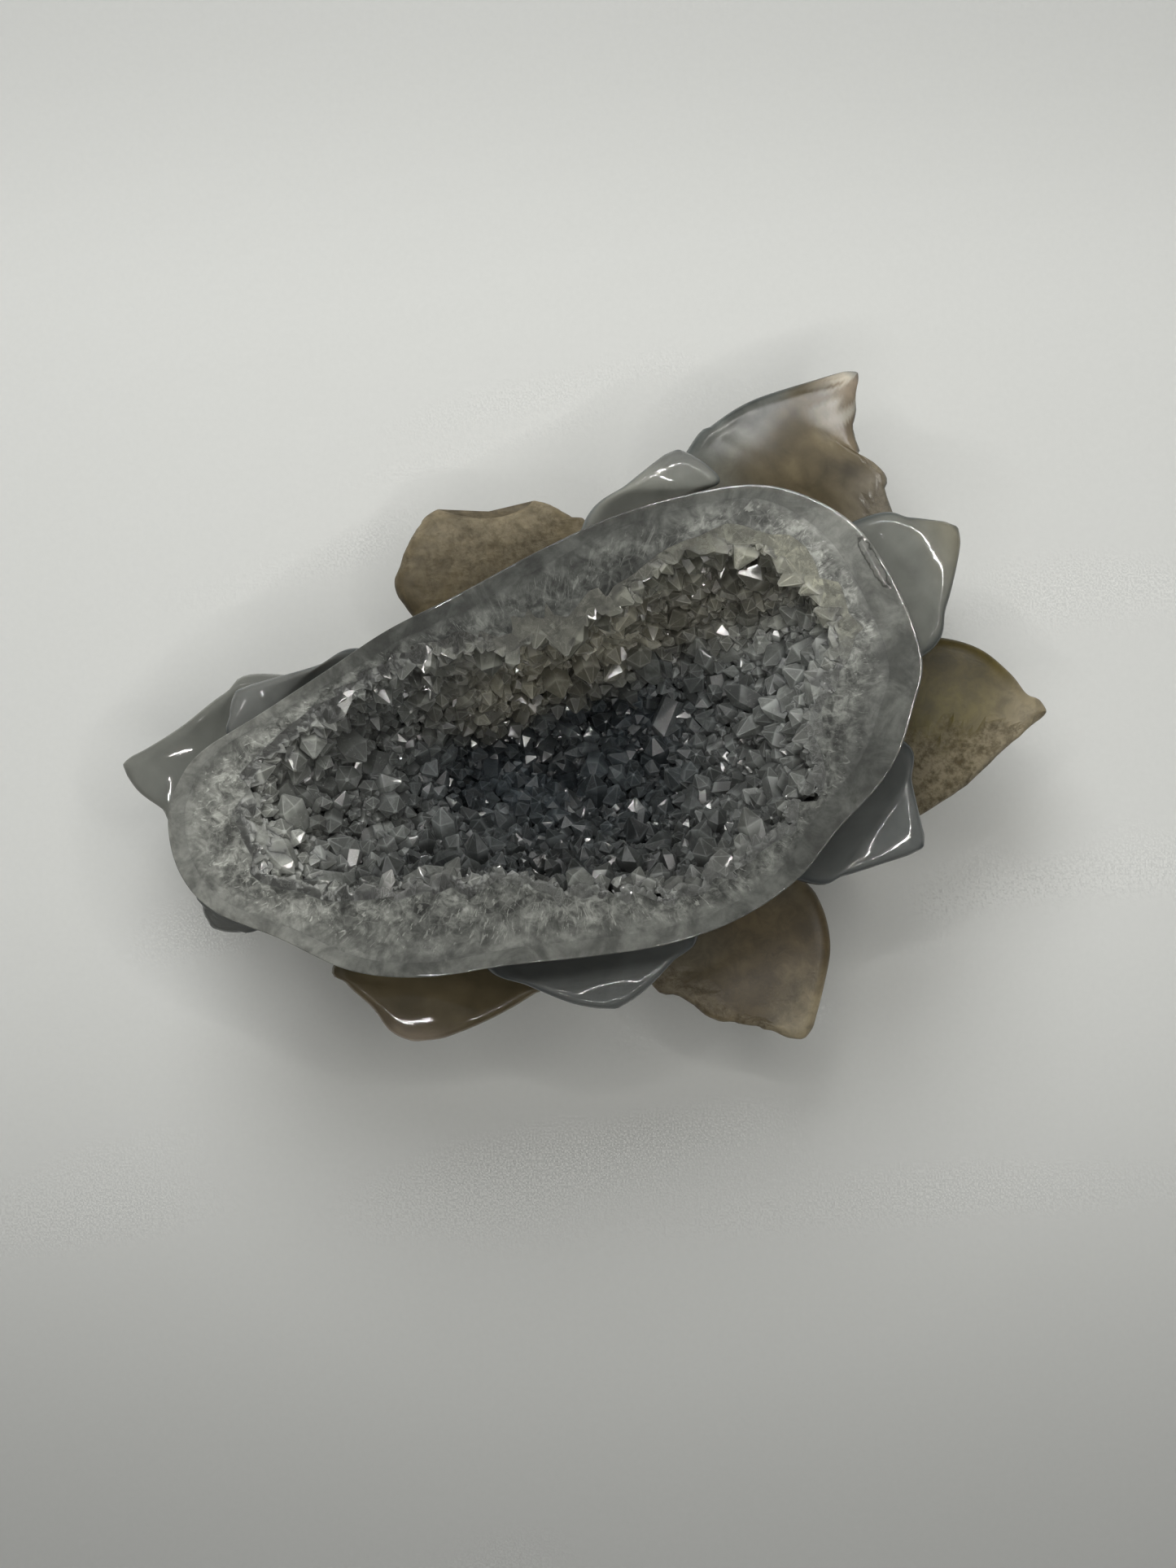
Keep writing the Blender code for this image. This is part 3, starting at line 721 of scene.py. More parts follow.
def with_ends(values):
    """Values at a petal's points, and then at the middle points that close its ends."""
    return np.concatenate([values.reshape(-1, *values.shape[2:]), values[[0, -1], 0]])


def add_petal(name, petal, seed, collection):
    """One petal as a closed surface, with its colour, rough skin and dullness."""
    rings, u, v, skin = petal_surface(petal, seed)
    mesh = add_tool(name, rings, collection).data
    count = len(mesh.vertices)
    set_colour(mesh, "stone", with_ends(petal_colour(petal, u, v, rings, seed)))
    set_value(mesh, "skin", with_ends(skin))
    set_value(mesh, "dull", np.full(count, petal.get("dull", 0.0)))
    set_value(mesh, "rim", np.zeros(count))
    set_value(mesh, "known", np.ones(count))


def make_agate():
    """The carved agate: body and petals joined, and hollowed for the crust."""
    petals = bpy.data.collections.new("petals")
    body = add_tool("carved_agate", body_rings())
    points = read_points(body.data)
    height = points[:, 2]
    base_skin = ramp(noises(points, BASE_SKIN), *BASE_SKIN_BORDER) * (1 - ramp(height, *BASE_SKIN_FADES))
    set_colour(body.data, "stone", body_colour(points))
    set_value(body.data, "skin", BASE_SKIN_STRENGTH * base_skin)
    set_value(body.data, "dull", BASE_DULLNESS * (1 - ramp(height, *BASE_DULLNESS_FADES)))
    set_value(body.data, "known", np.ones(len(points)))
    set_value(body.data, "rim", ramp(height - rim_height(points[:, 0]), *RIM_POLISH))
    for order, (name, petal) in enumerate(PETALS.items()):
        add_petal(name, petal, FIRST_PETAL_SEED + PETAL_SEED_STEP * order, petals)
    hollow = bowl_rings(0, np.radians(np.linspace(0, CUT_TURN, BOWL_ROWS)))
    hollow = add_tool("hollow", np.concatenate([hollow[::-1], hollow[:1] + [0, 0, CUT_ABOVE]]))
    joined = body.modifiers.new("petals", "BOOLEAN")
    joined.operation, joined.solver = "UNION", "MANIFOLD"
    joined.operand_type, joined.collection = "COLLECTION", petals
    cut = body.modifiers.new("hollow", "BOOLEAN")
    cut.operation, cut.solver, cut.object = "DIFFERENCE", "MANIFOLD", hollow
    mesh = bpy.data.meshes.new_from_object(body.evaluated_get(bpy.context.evaluated_depsgraph_get()))
    body.modifiers.clear()
    body.data = mesh
    body.hide_render = False
    for tool in [hollow, *petals.objects]:
        bpy.data.objects.remove(tool, do_unlink=True)
    soften_joins(mesh)
    mesh.shade_smooth()
    mesh.set_sharp_from_angle(angle=math.radians(AGATE_CREASE))
    sharpen_face(mesh)
    mesh.materials.clear()
    mesh.materials.append(agate_material())
    return body


def soften_joins(mesh):
    """Gives the points along the joins the colour of their neighbours, and blends it across each join.

    A point that the joining made has lost part of what it was given, so it takes its neighbours' mean.
    """
    ends = np.empty(len(mesh.edges) * 2, np.int32)
    mesh.edges.foreach_get("vertices", ends)
    a, b = ends.reshape(-1, 2).T
    count = len(mesh.vertices)
    stone = np.empty(count * 4, np.float32)
    mesh.attributes["stone"].data.foreach_get("color", stone)
    others = [read_value(mesh, name) for name in BLENDED]
    values = np.column_stack([stone.reshape(-1, 4)[:, :3], *others])
    known = read_value(mesh, "known") > WHOLLY_KNOWN
    near = ~known
    for _ in range(JOIN_RINGS):
        near = near | np.isin(np.arange(count), np.concatenate([a[near[b]], b[near[a]]]))
    weight = known.astype(float)
    for _ in range(JOIN_ROUNDS):
        total = np.zeros((count, values.shape[1]))
        sums = np.zeros(count)
        for here, there in ((a, b), (b, a)):
            np.add.at(total, here, values[there] * weight[there, None])
            np.add.at(sums, here, weight[there])
        change = near & (sums > 0)
        values[change] = total[change] / sums[change, None]
        weight[change] = 1
    for name in ("stone", "known", *BLENDED):
        mesh.attributes.remove(mesh.attributes[name])
    set_colour(mesh, "stone", values[:, :3])
    for name, column in zip(BLENDED, values[:, 3:].T):
        set_value(mesh, name, column)


def sharpen_face(mesh):
    """Marks the polished face's border as sharp, so that the rounded edge beside it leaves its light flat."""
    corners = np.empty((2, len(mesh.loops)), np.int32)
    mesh.loops.foreach_get("vertex_index", corners[0])
    mesh.loops.foreach_get("edge_index", corners[1])
    starts = np.empty(len(mesh.polygons), np.int32)
    mesh.polygons.foreach_get("loop_start", starts)
    points = read_points(mesh)
    level = np.abs(rim_height(points[:, 0]) - points[:, 2]) < FACE_TOLERANCE
    flat = np.logical_and.reduceat(level[corners[0]], starts)
    of_corner = np.repeat(flat, np.diff(np.append(starts, len(corners[0])))).astype(int)
    fewest, most = np.ones(len(mesh.edges), int), np.zeros(len(mesh.edges), int)
    np.minimum.at(fewest, corners[1], of_corner)
    np.maximum.at(most, corners[1], of_corner)
    sharp = np.empty(len(mesh.edges), bool)
    borders = mesh.attributes["sharp_edge"].data
    borders.foreach_get("value", sharp)
    borders.foreach_set("value", sharp | (fewest != most))


# The crust.

# The mouth's teeth: how far apart they are, how far they shift, how far they reach back and in, and the slow
# drift that every fifth of them adds.
MOUTH_STEP = 2.4
TOOTH_SHIFT = 0.45
MOUTH_TEETH = (-1.6, 2.0)
MOUTH_DRIFT = 1.3
DRIFT_EVERY = 5

# How steeply the teeth fade below the mouth, the bumps' height and noise, and the degrees between which the
# bumps end below the mouth.
TEETH_FADE = 7
BUMPS = 0.7
BUMP_NOISE = ((1, 5, 51), (0.6, 2.4, 52))
BUMPS_END = (70, 90)

# How far the crust is pressed into the agate, at its bowl and at its face, and how far its face is sunk.
CRUST_PRESSED = 0.05
FACE_PRESSED = 0.04
FACE_SUNK = 0.02

# The degrees that the back, its last ring under the face and the lining go through.
BACK_TURNS = (80, 4)
LAST_BACK_TURN = 0.25
LINING_TURNS = (90, 1.5)

# The depths between which the lining's tone takes over from the face's, and the face's dark specks end.
LINING_TONE_COMES = (0.2, 4)
SPECKS_END = (0.2, 5)

# The feathers' pattern goes by turn and distance: the radius that a turn counts at, and how much longer
# than wide they are.
FEATHER_RADIUS = 30.0
FEATHER_STRETCH = 4.0

# The dark middle of the hollow, partly the quartz's own dark gray and partly painted shade of the deep
# hollow: its middle in the plan, its lean in degrees, its reach along and across, and what it, depth and
# noise add to the darkness. The darkening with depth is painted shade.
DARK_PLACE = np.array([-2.0, -7.0])
DARK_LEAN = 18
DARK_REACH = (30.0, 18.0)
DARK_SHARE = 0.8
DEPTH_SHADE_SHARE = 0.2
DEPTH_SHADE_GROWS = (2, 14)
DARK_CLOUDS = ((0.15, 7, 62),)

# The lining's grays: light, how much lighter it is to the east and darker to the south, and dark.
LINING_LIGHT = np.array([0.135, 0.14, 0.13])
EAST_LIGHTER = 0.6
EAST_COMES = (8, 28)
SOUTH_DARKER = 0.75
SOUTH_COMES = (4, 16)
LINING_DARK = np.array([0.016, 0.02, 0.023])

# The brown under the northern wall: its colour and strength, how its border drifts and where it comes in
# across and along the hollow, and how much darker it is painted to the east, as the shadow under the
# north-east overhang.
BROWN_TONE = np.array([0.25, 0.235, 0.178])
BROWN_SHARE = 0.75
BROWN_DRIFT = ((2, 8, 61),)
BROWN_ACROSS = (5, 14)
BROWN_ALONG = (-34, -8)
BROWN_SHADOW = 0.45
BROWN_SHADOW_GROWS = (0, 25)


def mouth_reach(rng):
    """The mouth's radius at each of the rim's directions, smooth, and the teeth that its crystals add."""
    smooth = radius_at(MOUTH_OUTLINE, RIM_ANGLES)
    around_mouth = np.hypot(*np.diff(closed_curve(MOUTH_OUTLINE, MOUTH_POINTS), axis=0).T).sum()
    count = int(around_mouth / MOUTH_STEP)
    shift = rng.uniform(-TOOTH_SHIFT, TOOTH_SHIFT, count)
    knots = np.sort((np.arange(count) + shift) / count * 2 * math.pi)
    teeth = around(RIM_ANGLES, knots, rng.uniform(*MOUTH_TEETH, count))
    slow = knots[::DRIFT_EVERY]
    drift = around(RIM_ANGLES, slow, rng.uniform(-MOUTH_DRIFT, MOUTH_DRIFT, len(slow)))
    return smooth, teeth + drift


def lining_rings(smooth, teeth, turns):
    """The hollow: radius · sin(turn)^k from CENTRE and depth · cos(turn)^k down, with teeth that fade below
    the mouth and bumps by noise."""
    fade = (turns / turns.max()) ** TEETH_FADE
    reach = (smooth - teeth * fade[:, None]) * (np.sin(turns) ** DRUZY_ROUNDNESS)[:, None]
    plan = CENTRE + OUTWARDS * reach[..., None]
    drop = cavity_depth(plan[..., 0]) * (np.maximum(np.cos(turns), 0) ** DRUZY_ROUNDNESS)[:, None]
    rings = np.concatenate([plan, (rim_height(plan[..., 0]) - drop)[..., None]], axis=-1)
    bumpy = (1 - ramp(turns, *np.radians(BUMPS_END)))[:, None]
    rings[..., 2] += BUMPS * bumpy * noises(rings, BUMP_NOISE)
    return rings


def make_crust(rng):
    """The polished quartz face, the hollow's lining and the crust's hidden outer side, in one surface."""
    smooth, teeth = mouth_reach(rng)
    back = bowl_rings(CRUST_PRESSED, np.radians(np.linspace(*BACK_TURNS, CRUST_BACK_ROWS)))
    last_back = bowl_rings(CRUST_PRESSED, np.radians([LAST_BACK_TURN]))
    share = np.linspace(0, 1, FACE_ROWS)[:, None]
    reach = blend(crust_reach(FACE_PRESSED), smooth - teeth, share)
    plan = CENTRE + OUTWARDS * reach[..., None]
    face = np.concatenate([plan, rim_height(plan[..., 0])[..., None]], axis=-1)
    face[..., 2] -= FACE_SUNK
    lining = lining_rings(smooth, teeth, np.radians(np.linspace(*LINING_TURNS, LINING_ROWS)))
    rings = np.concatenate([back, last_back, face, lining[1:]])
    crust = mesh_object("polished_quartz", *closed_rings(rings))
    mesh = crust.data
    points = read_points(mesh)
    into = np.ones(len(points))
    rows = np.repeat(np.arange(len(rings)), RIM_COLUMNS)
    face_start = len(back) + len(last_back)
    into[: len(rows)] = np.clip((rows - face_start) / (FACE_ROWS - 1), 0, 1)
    depth = rim_height(points[:, 0]) - points[:, 2]
    tone = blend(face_tone(points), lining_tone(points), ramp(depth, *LINING_TONE_COMES)[:, None])
    set_colour(mesh, "tone", tone)
    set_value(mesh, "into", into)
    set_value(mesh, "veiled", 1 - ramp(depth, *SPECKS_END))
    feather = np.zeros((len(points), 3))
    feather[:, 0] = directions(points[:, :2]) * FEATHER_RADIUS
    feather[:, 1] = np.hypot(*(points[:, :2] - CENTRE).T) / FEATHER_STRETCH
    feathers = mesh.attributes.new("feather", "FLOAT_VECTOR", "POINT")
    feathers.data.foreach_set("vector", feather.ravel() * MM)
    mesh.shade_smooth()
    mesh.set_sharp_from_angle(angle=math.radians(CRUST_CREASE))
    mesh.materials.append(face_material())
    return crust, lining


def lining_tone(points):
    """The quartz's gray in the hollow: light near the mouth, nearly black in the middle, brown under the
    long northern wall. The dark middle and the darkening with depth are partly the quartz's own gray and
    partly painted shade, and the brown is painted darker to the east as the shadow under the overhang.
    The dark middle fades as exp(-r⁴), with r² = (along/reach)² + (across/reach)²."""
    offset = points[..., :2] - DARK_PLACE
    lean = math.radians(DARK_LEAN)
    along = offset[..., 0] * math.cos(lean) + offset[..., 1] * math.sin(lean)
    across = offset[..., 1] * math.cos(lean) - offset[..., 0] * math.sin(lean)
    middle = np.exp(-(((along / DARK_REACH[0]) ** 2 + (across / DARK_REACH[1]) ** 2) ** 2))
    x = points[..., 0]
    depth = rim_height(x) - points[..., 2]
    # Painted shade: the middle and the deeper parts are darker, beside the quartz's own dark gray.
    dark = DARK_SHARE * middle + DEPTH_SHADE_SHARE * ramp(depth, *DEPTH_SHADE_GROWS) + noises(points, DARK_CLOUDS)
    lighter = 1 + EAST_LIGHTER * ramp(x, *EAST_COMES) - SOUTH_DARKER * ramp(-across, *SOUTH_COMES)
    colour = blend(LINING_LIGHT * lighter[..., None], LINING_DARK, np.clip(dark, 0, 1)[..., None])
    brown = ramp(across + noises(points, BROWN_DRIFT), *BROWN_ACROSS) * ramp(x, *BROWN_ALONG)
    # Painted shadow: the brown is darker to the east, under the north-east overhang.
    brown_tone = BROWN_TONE * (1 - BROWN_SHADOW * ramp(x, *BROWN_SHADOW_GROWS))[..., None]
    return blend(colour, brown_tone, BROWN_SHARE * brown[..., None])


# The crystals.

# The largest and smallest radius of each size, and how many are tried; how close two may stand, as a share
# of their radii; and how many are cut through at the mouth.
CRYSTAL_SIZES = [(2.6, 1.8, 300), (1.7, 1.1, 3200), (1.0, 0.55, 14000)]
CRYSTAL_CLOSENESS = 0.5
MOUTH_CRYSTALS = 520
LARGE_CRYSTAL = 1.0
SEED = 11

# Clusters: how many, how far they reach, how high they rise and how far their crystals fan out.
CLUSTERS = 170
CLUSTER_REACH = 6.0
CLUSTER_RISE = 2.0
CLUSTER_FAN = 0.75

# The crystals at the mouth: their least radius, their largest in the south and how much more in the north,
# how far below the face they start, and how they lean and rise.
MOUTH_SMALLEST = 0.8
MOUTH_LARGEST = 1.5
MOUTH_NORTH_MORE = 1.8
MOUTH_NORTH = (5, 25)
MOUTH_START = (-0.1, 0.7)
MOUTH_LEAN = 0.5
MOUTH_RISE = 0.5

# A crystal's shape. Lengths, tips and sides in radii: the whole length, the tip's length, how uneven the
# sides are and their shoulders, how deep the foot is, and how wide the foot and the blunt tip are. Then how
# far its axis and its corners' turns stray, and how far it ends below the polished face.
CRYSTAL_LENGTHS = (1.2, 2.7)
PYRAMID_LENGTHS = (0.8, 1.3)
UNEVEN_SIDES = (0.75, 1.15)
UNEVEN_SHOULDERS = (-0.3, 0.3)
FOOT_DEPTH = 0.5
FOOT_WIDTH = 0.9
TIP_WIDTH = 0.14
CRYSTAL_TILT = 0.62
TURN_STRAY = 0.08
CUT_BELOW_FACE = 0.05

# A crystal whose axis rises more than this measures its sides from the x axis, and any other from the z axis.
NEARLY_UPRIGHT = 0.9

# A crystal's points: its corners, and those of all its rings with the facets' middle points.
SIDES = 6
CRYSTAL_POINTS = 4 * SIDES

# What its foot, shoulder, tip and facets' middles tell the material: how near they are to the tip, and to
# an edge.
NEAR_TIP = (0.0, 0.7, 1.0, 0.85)
NEAR_EDGE = (0.3, 1.0, 1.0, 0.0)

# Its tone: how much the milky ones differ from the clear ones in the hollow and at the mouth, and the
# milkiness that leaves the tone as it is.
CONTRAST = 1.2
PLAIN_MILK = 0.4
MOUTH_CONTRAST = 0.4
MOUTH_PLAIN_MILK = 0.3
MILK_CURVE = 1.5

# The mouth's paler tone, partly the quartz's own milky gray and partly painted light that lifts the shade
# on the crystals near the mouth: how much paler, its tint in the north, its share, and how deep it reaches in
# the south and in the north and west, with where those start.
MOUTH_PALER = 1.25
MOUTH_TINT = np.array([1.08, 1.05, 0.93])
MOUTH_TONE_SHARE = 0.85
MOUTH_TONE_DEPTHS = (5, 14)
MOUTH_TONE_FADES = (0.2, 1)
TONE_NORTH = (3, 16)
TONE_WEST = (28, 46)


def spots_on(lining, count, rng):
    """Random points of the lining, evenly by area, with the surface's normals there."""
    a, b = lining[:-1], np.roll(lining, -1, axis=1)[:-1]
    d, c = lining[1:], np.roll(lining, -1, axis=1)[1:]
    cross = np.cross(c - a, d - b).reshape(-1, 3)
    chance = np.cumsum(np.linalg.norm(cross, axis=-1))
    cell = np.searchsorted(chance / chance[-1], rng.uniform(0, 1, count))
    s, t = rng.uniform(0, 1, (2, count, 1))
    a, b, c, d = (side.reshape(-1, 3)[cell] for side in (a, b, c, d))
    return blend(blend(a, b, s), blend(d, c, s), t), unit(cross[cell])


def scatter(lining, rng):
    """Feet of crystals on the lining that keep their distance from each other, largest first.

    Returns each crystal's foot, the surface's normal there and its radius.
    """
    feet, normals, radii = np.zeros((0, 3)), np.zeros((0, 3)), np.zeros(0)
    for largest, smallest, tries in CRYSTAL_SIZES:
        spots, facing = spots_on(lining, tries, rng)
        sizes = np.sort(rng.uniform(smallest, largest, tries))[::-1]
        for spot, normal, size in zip(spots, facing, sizes):
            gap = np.linalg.norm(feet - spot, axis=1)
            if (gap > (radii + size) * CRYSTAL_CLOSENESS).all():
                feet = np.vstack([feet, spot])
                normals = np.vstack([normals, normal])
                radii = np.append(radii, size)
    return feet, normals, radii


def mouth_crystals(lining, rng):
    """Crystals cut through by the polished face: they start in the mouth's edge and point into the hollow."""
    column = rng.integers(0, RIM_COLUMNS, MOUTH_CRYSTALS)
    largest = MOUTH_LARGEST + MOUTH_NORTH_MORE * ramp(RIM[column, 1], *MOUTH_NORTH)
    radii = rng.uniform(MOUTH_SMALLEST, largest)
    below = radii * rng.uniform(*MOUTH_START, MOUTH_CRYSTALS)
    feet = lining[0, column] - [0, 0, 1] * below[:, None]
    inwards = -OUTWARDS[column] + rng.normal(0, MOUTH_LEAN, (MOUTH_CRYSTALS, 2))
    rise = rng.uniform(-MOUTH_RISE, MOUTH_RISE, (MOUTH_CRYSTALS, 1))
    return feet, unit(np.column_stack([inwards, rise])), radii


def cluster(feet, axes, centres):
    """Raises the crystals near a cluster's middle by rise · (1 - r²), and fans out those round it."""
    apart = np.linalg.norm(feet[:, None] - centres[None], axis=-1)
    nearest = apart.argmin(axis=1)
    share = np.clip(apart.min(axis=1) / CLUSTER_REACH, 0, 1)
    lean = (feet - centres[nearest]) / CLUSTER_REACH * CLUSTER_FAN
    raised = feet + axes * (CLUSTER_RISE * (1 - share**2))[:, None]
    return raised, unit(axes + lean), nearest


def grow_crystals(lining, rng):
    """The feet, axes, radii and milkiness of all crystals. Half of the milkiness is the cluster's."""
    feet, axes, radii = scatter(lining, rng)
    centres, _ = spots_on(lining, CLUSTERS, rng)
    feet, axes, group = cluster(feet, axes, centres)
    cut_feet, cut_axes, cut_radii = mouth_crystals(lining, rng)
    group = np.concatenate([group, rng.integers(0, len(centres), len(cut_feet))])
    feet, axes, radii = np.vstack([feet, cut_feet]), np.vstack([axes, cut_axes]), np.append(radii, cut_radii)
    own = rng.uniform(0, 1, len(feet)) ** MILK_CURVE
    milk = (own + rng.uniform(0, 1, len(centres))[group]) / 2
    return feet, axes, radii, milk


def crystal_tone(feet, milk):
    """The crystals' gray: the lining's, with its painted shade, and near the mouth the polished face's,
    painted paler to lift the shade there; both paler with milkiness.
    """
    north = ramp(feet[:, 1], *TONE_NORTH)
    reach = blend(*MOUTH_TONE_DEPTHS, np.maximum(north, ramp(-feet[:, 0], *TONE_WEST)))
    near_mouth = 1 - ramp((rim_height(feet[:, 0]) - feet[:, 2]) / reach, *MOUTH_TONE_FADES)
    plain = lining_tone(feet) * np.exp(CONTRAST * (milk - PLAIN_MILK))[:, None]
    # Partly painted light: near the mouth the crystals are painted paler than the face, against the shade on
    # them.
    paler = MOUTH_PALER * np.exp(MOUTH_CONTRAST * (milk - MOUTH_PLAIN_MILK))
    at_mouth = face_tone(feet) * paler[:, None] * blend(np.ones(3), MOUTH_TINT, north[:, None])
    return blend(plain, at_mouth, MOUTH_TONE_SHARE * near_mouth[:, None])


def crystal_rings(feet, axes, radii, rng):
    """Each crystal's foot ring, shoulder ring and tip ring. A corner is foot + axis · height + radius ·
    width · (side · cos(turn) + front · sin(turn))."""
    count = len(feet)
    axis = unit(axes + rng.normal(0, CRYSTAL_TILT, (count, 3)))
    helper = np.where(np.abs(axis[:, 2:]) < NEARLY_UPRIGHT, [0.0, 0.0, 1.0], [1.0, 0.0, 0.0])
    side = unit(np.cross(axis, helper))
    front = np.cross(axis, side)
    turn = rng.uniform(0, math.pi, (count, 1)) + HEXAGON + rng.normal(0, TURN_STRAY, (count, SIDES))
    length = radii * rng.uniform(*CRYSTAL_LENGTHS, count)
    pyramid = radii * rng.uniform(*PYRAMID_LENGTHS, count)
    uneven = rng.uniform(*UNEVEN_SIDES, (count, SIDES))
    around_axis = radii[:, None]
    shoulder = (length - pyramid)[:, None] + around_axis * rng.uniform(*UNEVEN_SHOULDERS, (count, SIDES))
    level = np.ones(SIDES)
    heights = np.stack([-FOOT_DEPTH * around_axis * level, shoulder, length[:, None] * level], axis=1)
    widths = np.stack([uneven * FOOT_WIDTH, uneven, TIP_WIDTH * uneven], axis=1) * radii[:, None, None]
    spread = side[:, None] * np.cos(turn)[..., None] + front[:, None] * np.sin(turn)[..., None]
    along = axis[:, None, None] * heights[..., None]
    return feet[:, None, None] + along + spread[:, None] * widths[..., None]


def crystal_faces(count):
    """Faces of all crystals: the sides' quads, four triangles round each facet's middle, and both ends."""
    foot = np.arange(SIDES)
    after = (foot + 1) % SIDES
    shoulder, shoulder_after = SIDES + foot, SIDES + after
    tip, tip_after = 2 * SIDES + foot, 2 * SIDES + after
    facet = [[shoulder, shoulder_after], [shoulder_after, tip_after], [tip_after, tip], [tip, shoulder]]
    middle = np.broadcast_to(3 * SIDES + foot, (4, 1, SIDES))
    quarters = np.concatenate([np.stack(facet), middle], axis=1).transpose(2, 0, 1)
    kinds = (ring_faces(2, SIDES), quarters.reshape(-1, 3), np.stack([tip, foot[::-1]]))
    offset = np.arange(count)[:, None, None] * CRYSTAL_POINTS
    return [(faces + offset).reshape(-1, faces.shape[1]) for faces in kinds]


def make_crystals(name, feet, axes, radii, milk, rng):
    """Six-sided crystals. Each has a foot ring in the lining, a shoulder ring, a small ring at its blunt tip
    and a point in the middle of each of the tip's six facets, for the painted highlight along the facets'
    edges."""
    count = len(feet)
    rings = crystal_rings(feet, axes, radii, rng)
    middles = (rings[:, 1:] + np.roll(rings[:, 1:], -1, axis=2)).mean(axis=1) / 2
    points = np.concatenate([rings.reshape(count, 3 * SIDES, 3), middles], axis=1)
    points[..., 2] = np.minimum(points[..., 2], rim_height(points[..., 0]) - CUT_BELOW_FACE)
    crystals = mesh_object(name, points.reshape(-1, 3), crystal_faces(count))
    mesh = crystals.data
    mesh.shade_flat()
    set_colour(mesh, "tone", np.repeat(crystal_tone(feet, milk), CRYSTAL_POINTS, axis=0))
    set_value(mesh, "tip", np.tile(np.repeat(NEAR_TIP, SIDES), count))
    set_value(mesh, "edge", np.tile(np.repeat(NEAR_EDGE, SIDES), count))
    set_value(mesh, "milk", np.repeat(milk, CRYSTAL_POINTS))
    sides, tips, ends = (rng.uniform(0, 1, size) for size in (count * SIDES, count * SIDES, count * 2))
    facet = np.concatenate([sides, np.repeat(tips, 4), ends]).astype(np.float32)
    mesh.attributes.new("facet", "FLOAT", "FACE").data.foreach_set("value", facet)
    return crystals


# Materials.

# Noise patterns: how many waves in a metre, detail, roughness and distortion, and the two values of the
# noise between which the pattern turns from 0 to 1.
PATTERNS = {
    "clouds": (150, 5, 0.62, 1.0, 0.36, 0.66),
    "fine_grain": (900, 4, 0.65, 0.0, 0.3, 0.75),
    "scar_waver": (700, 2, 0.5, 0.0, 0.3, 0.7),
    "agate_veils": (95, 5, 0.6, 0.6, 0.3, 0.75),
    "dull_grain": (330, 6, 0.7, 0.6, 0.36, 0.64),
    "feather_veils": (620, 5, 0.65, 0.8, 0.54, 0.72),
    "feather_threads": (1500, 3, 0.6, 1.5, 0.58, 0.7),
    "broad_shades": (210, 3, 0.6, 0.8, 0.36, 0.64),
    "blotches": (430, 6, 0.7, 0.8, 0.36, 0.64),
    "outline_patches": (260, 2, 0.5, 0.0, 0.4, 0.6),
    "crystal_clouds": (420, 7, 0.7, 1.4, 0.36, 0.66),
    "crystal_threads": (1000, 4, 0.7, 2.5, 0.57, 0.68),
    "painted_edge_highlights": (300, 2, 0.5, 0.0, 0.35, 0.6),
}

# Noise without a border: waves in a metre, detail and roughness.
FINE_CRUMBS = (1150, 5, 0.7)
COARSE_CRUMBS = (480, 4, 0.6)
WEAR = (60, 3, 0.5)
PAPER_GRAIN = (900, 3, 0.6)

# Markings that multiply the colour under them: how strongly they cover it, and by how much they multiply.
CLOUD_COVER = 0.8
CLOUD_SHADES = (0.75, 1.6)
GRAIN_COVER = 0.4
GRAIN_SHADE = 0.45

# The agate: its veils, the grain of its dull parts, the crumbs of its skin with their two colours, the
# painted shade along the flake's scar, and how rough and how bumpy it is.
VEIL_COVER = 0.4
VEIL_SHADE = 1.7
DULL_SHADES = (0.72, 1.3)
CRUMB_BORDER = (0.38, 0.6)
SKIN_DARK = (0.085, 0.067, 0.038)
SKIN_LIGHT = (0.31, 0.27, 0.185)
SKIN_COVER = 0.72
SCAR_WAVER = 0.2
SCAR_LINE = (0.03, 0.2)
SCAR_SHADE_COVER = 0.65
SCAR_SHADE_COLOUR = (0.02, 0.02, 0.017)
WEAR_SHARE = 0.08
WORN_OUT = 0.9
AGATE_ROUGHNESS = (0.05, 0.6)
LEAST_RELIEF = 0.01
RELIEF_STRENGTH = 0.8
RELIEF_HEIGHT = 0.0012

# The polished quartz face. A zone is where a marking starts and is full, on the way from the rim, 0, to the
# mouth, 1, and its strength at the two.
RIM_ZONE = (0.0, 0.3)
BLOTCH_ZONE = (0.0, 0.7, 0.2, 0.9)
FEATHER_ZONE = (0.0, 0.35)
MOSAIC_ZONE = (0.1, 1.0, 0.0, 0.8)
OUTLINE_ZONE = (0.1, 0.8, 0.0, 0.22)
FACE_RIM_SHADE = 0.86
BROAD_SHADES = (0.72, 1.22)
BLOTCH_SHADES = (0.42, 1.5)
WHITE_SHADE = 2.6
FEATHER_COVER = 0.5
THREAD_COVER = 0.65
MOSAIC_SCALE = 430
MOSAIC_SHADES = (0.5, 1.25)
MOSAIC_WAVER = 0.0016
MOSAIC_WAVER_SCALE = 450
OUTLINE_WIDTH = 0.07
SPECK_SCALE = 150
SPECK_RADIUS = (0.035, 0.06)
SPECK_CHANCE = (0.5, 0.55)
SPECK_COVER = 0.85
SPECK_COLOUR = (0.015, 0.012, 0.01)

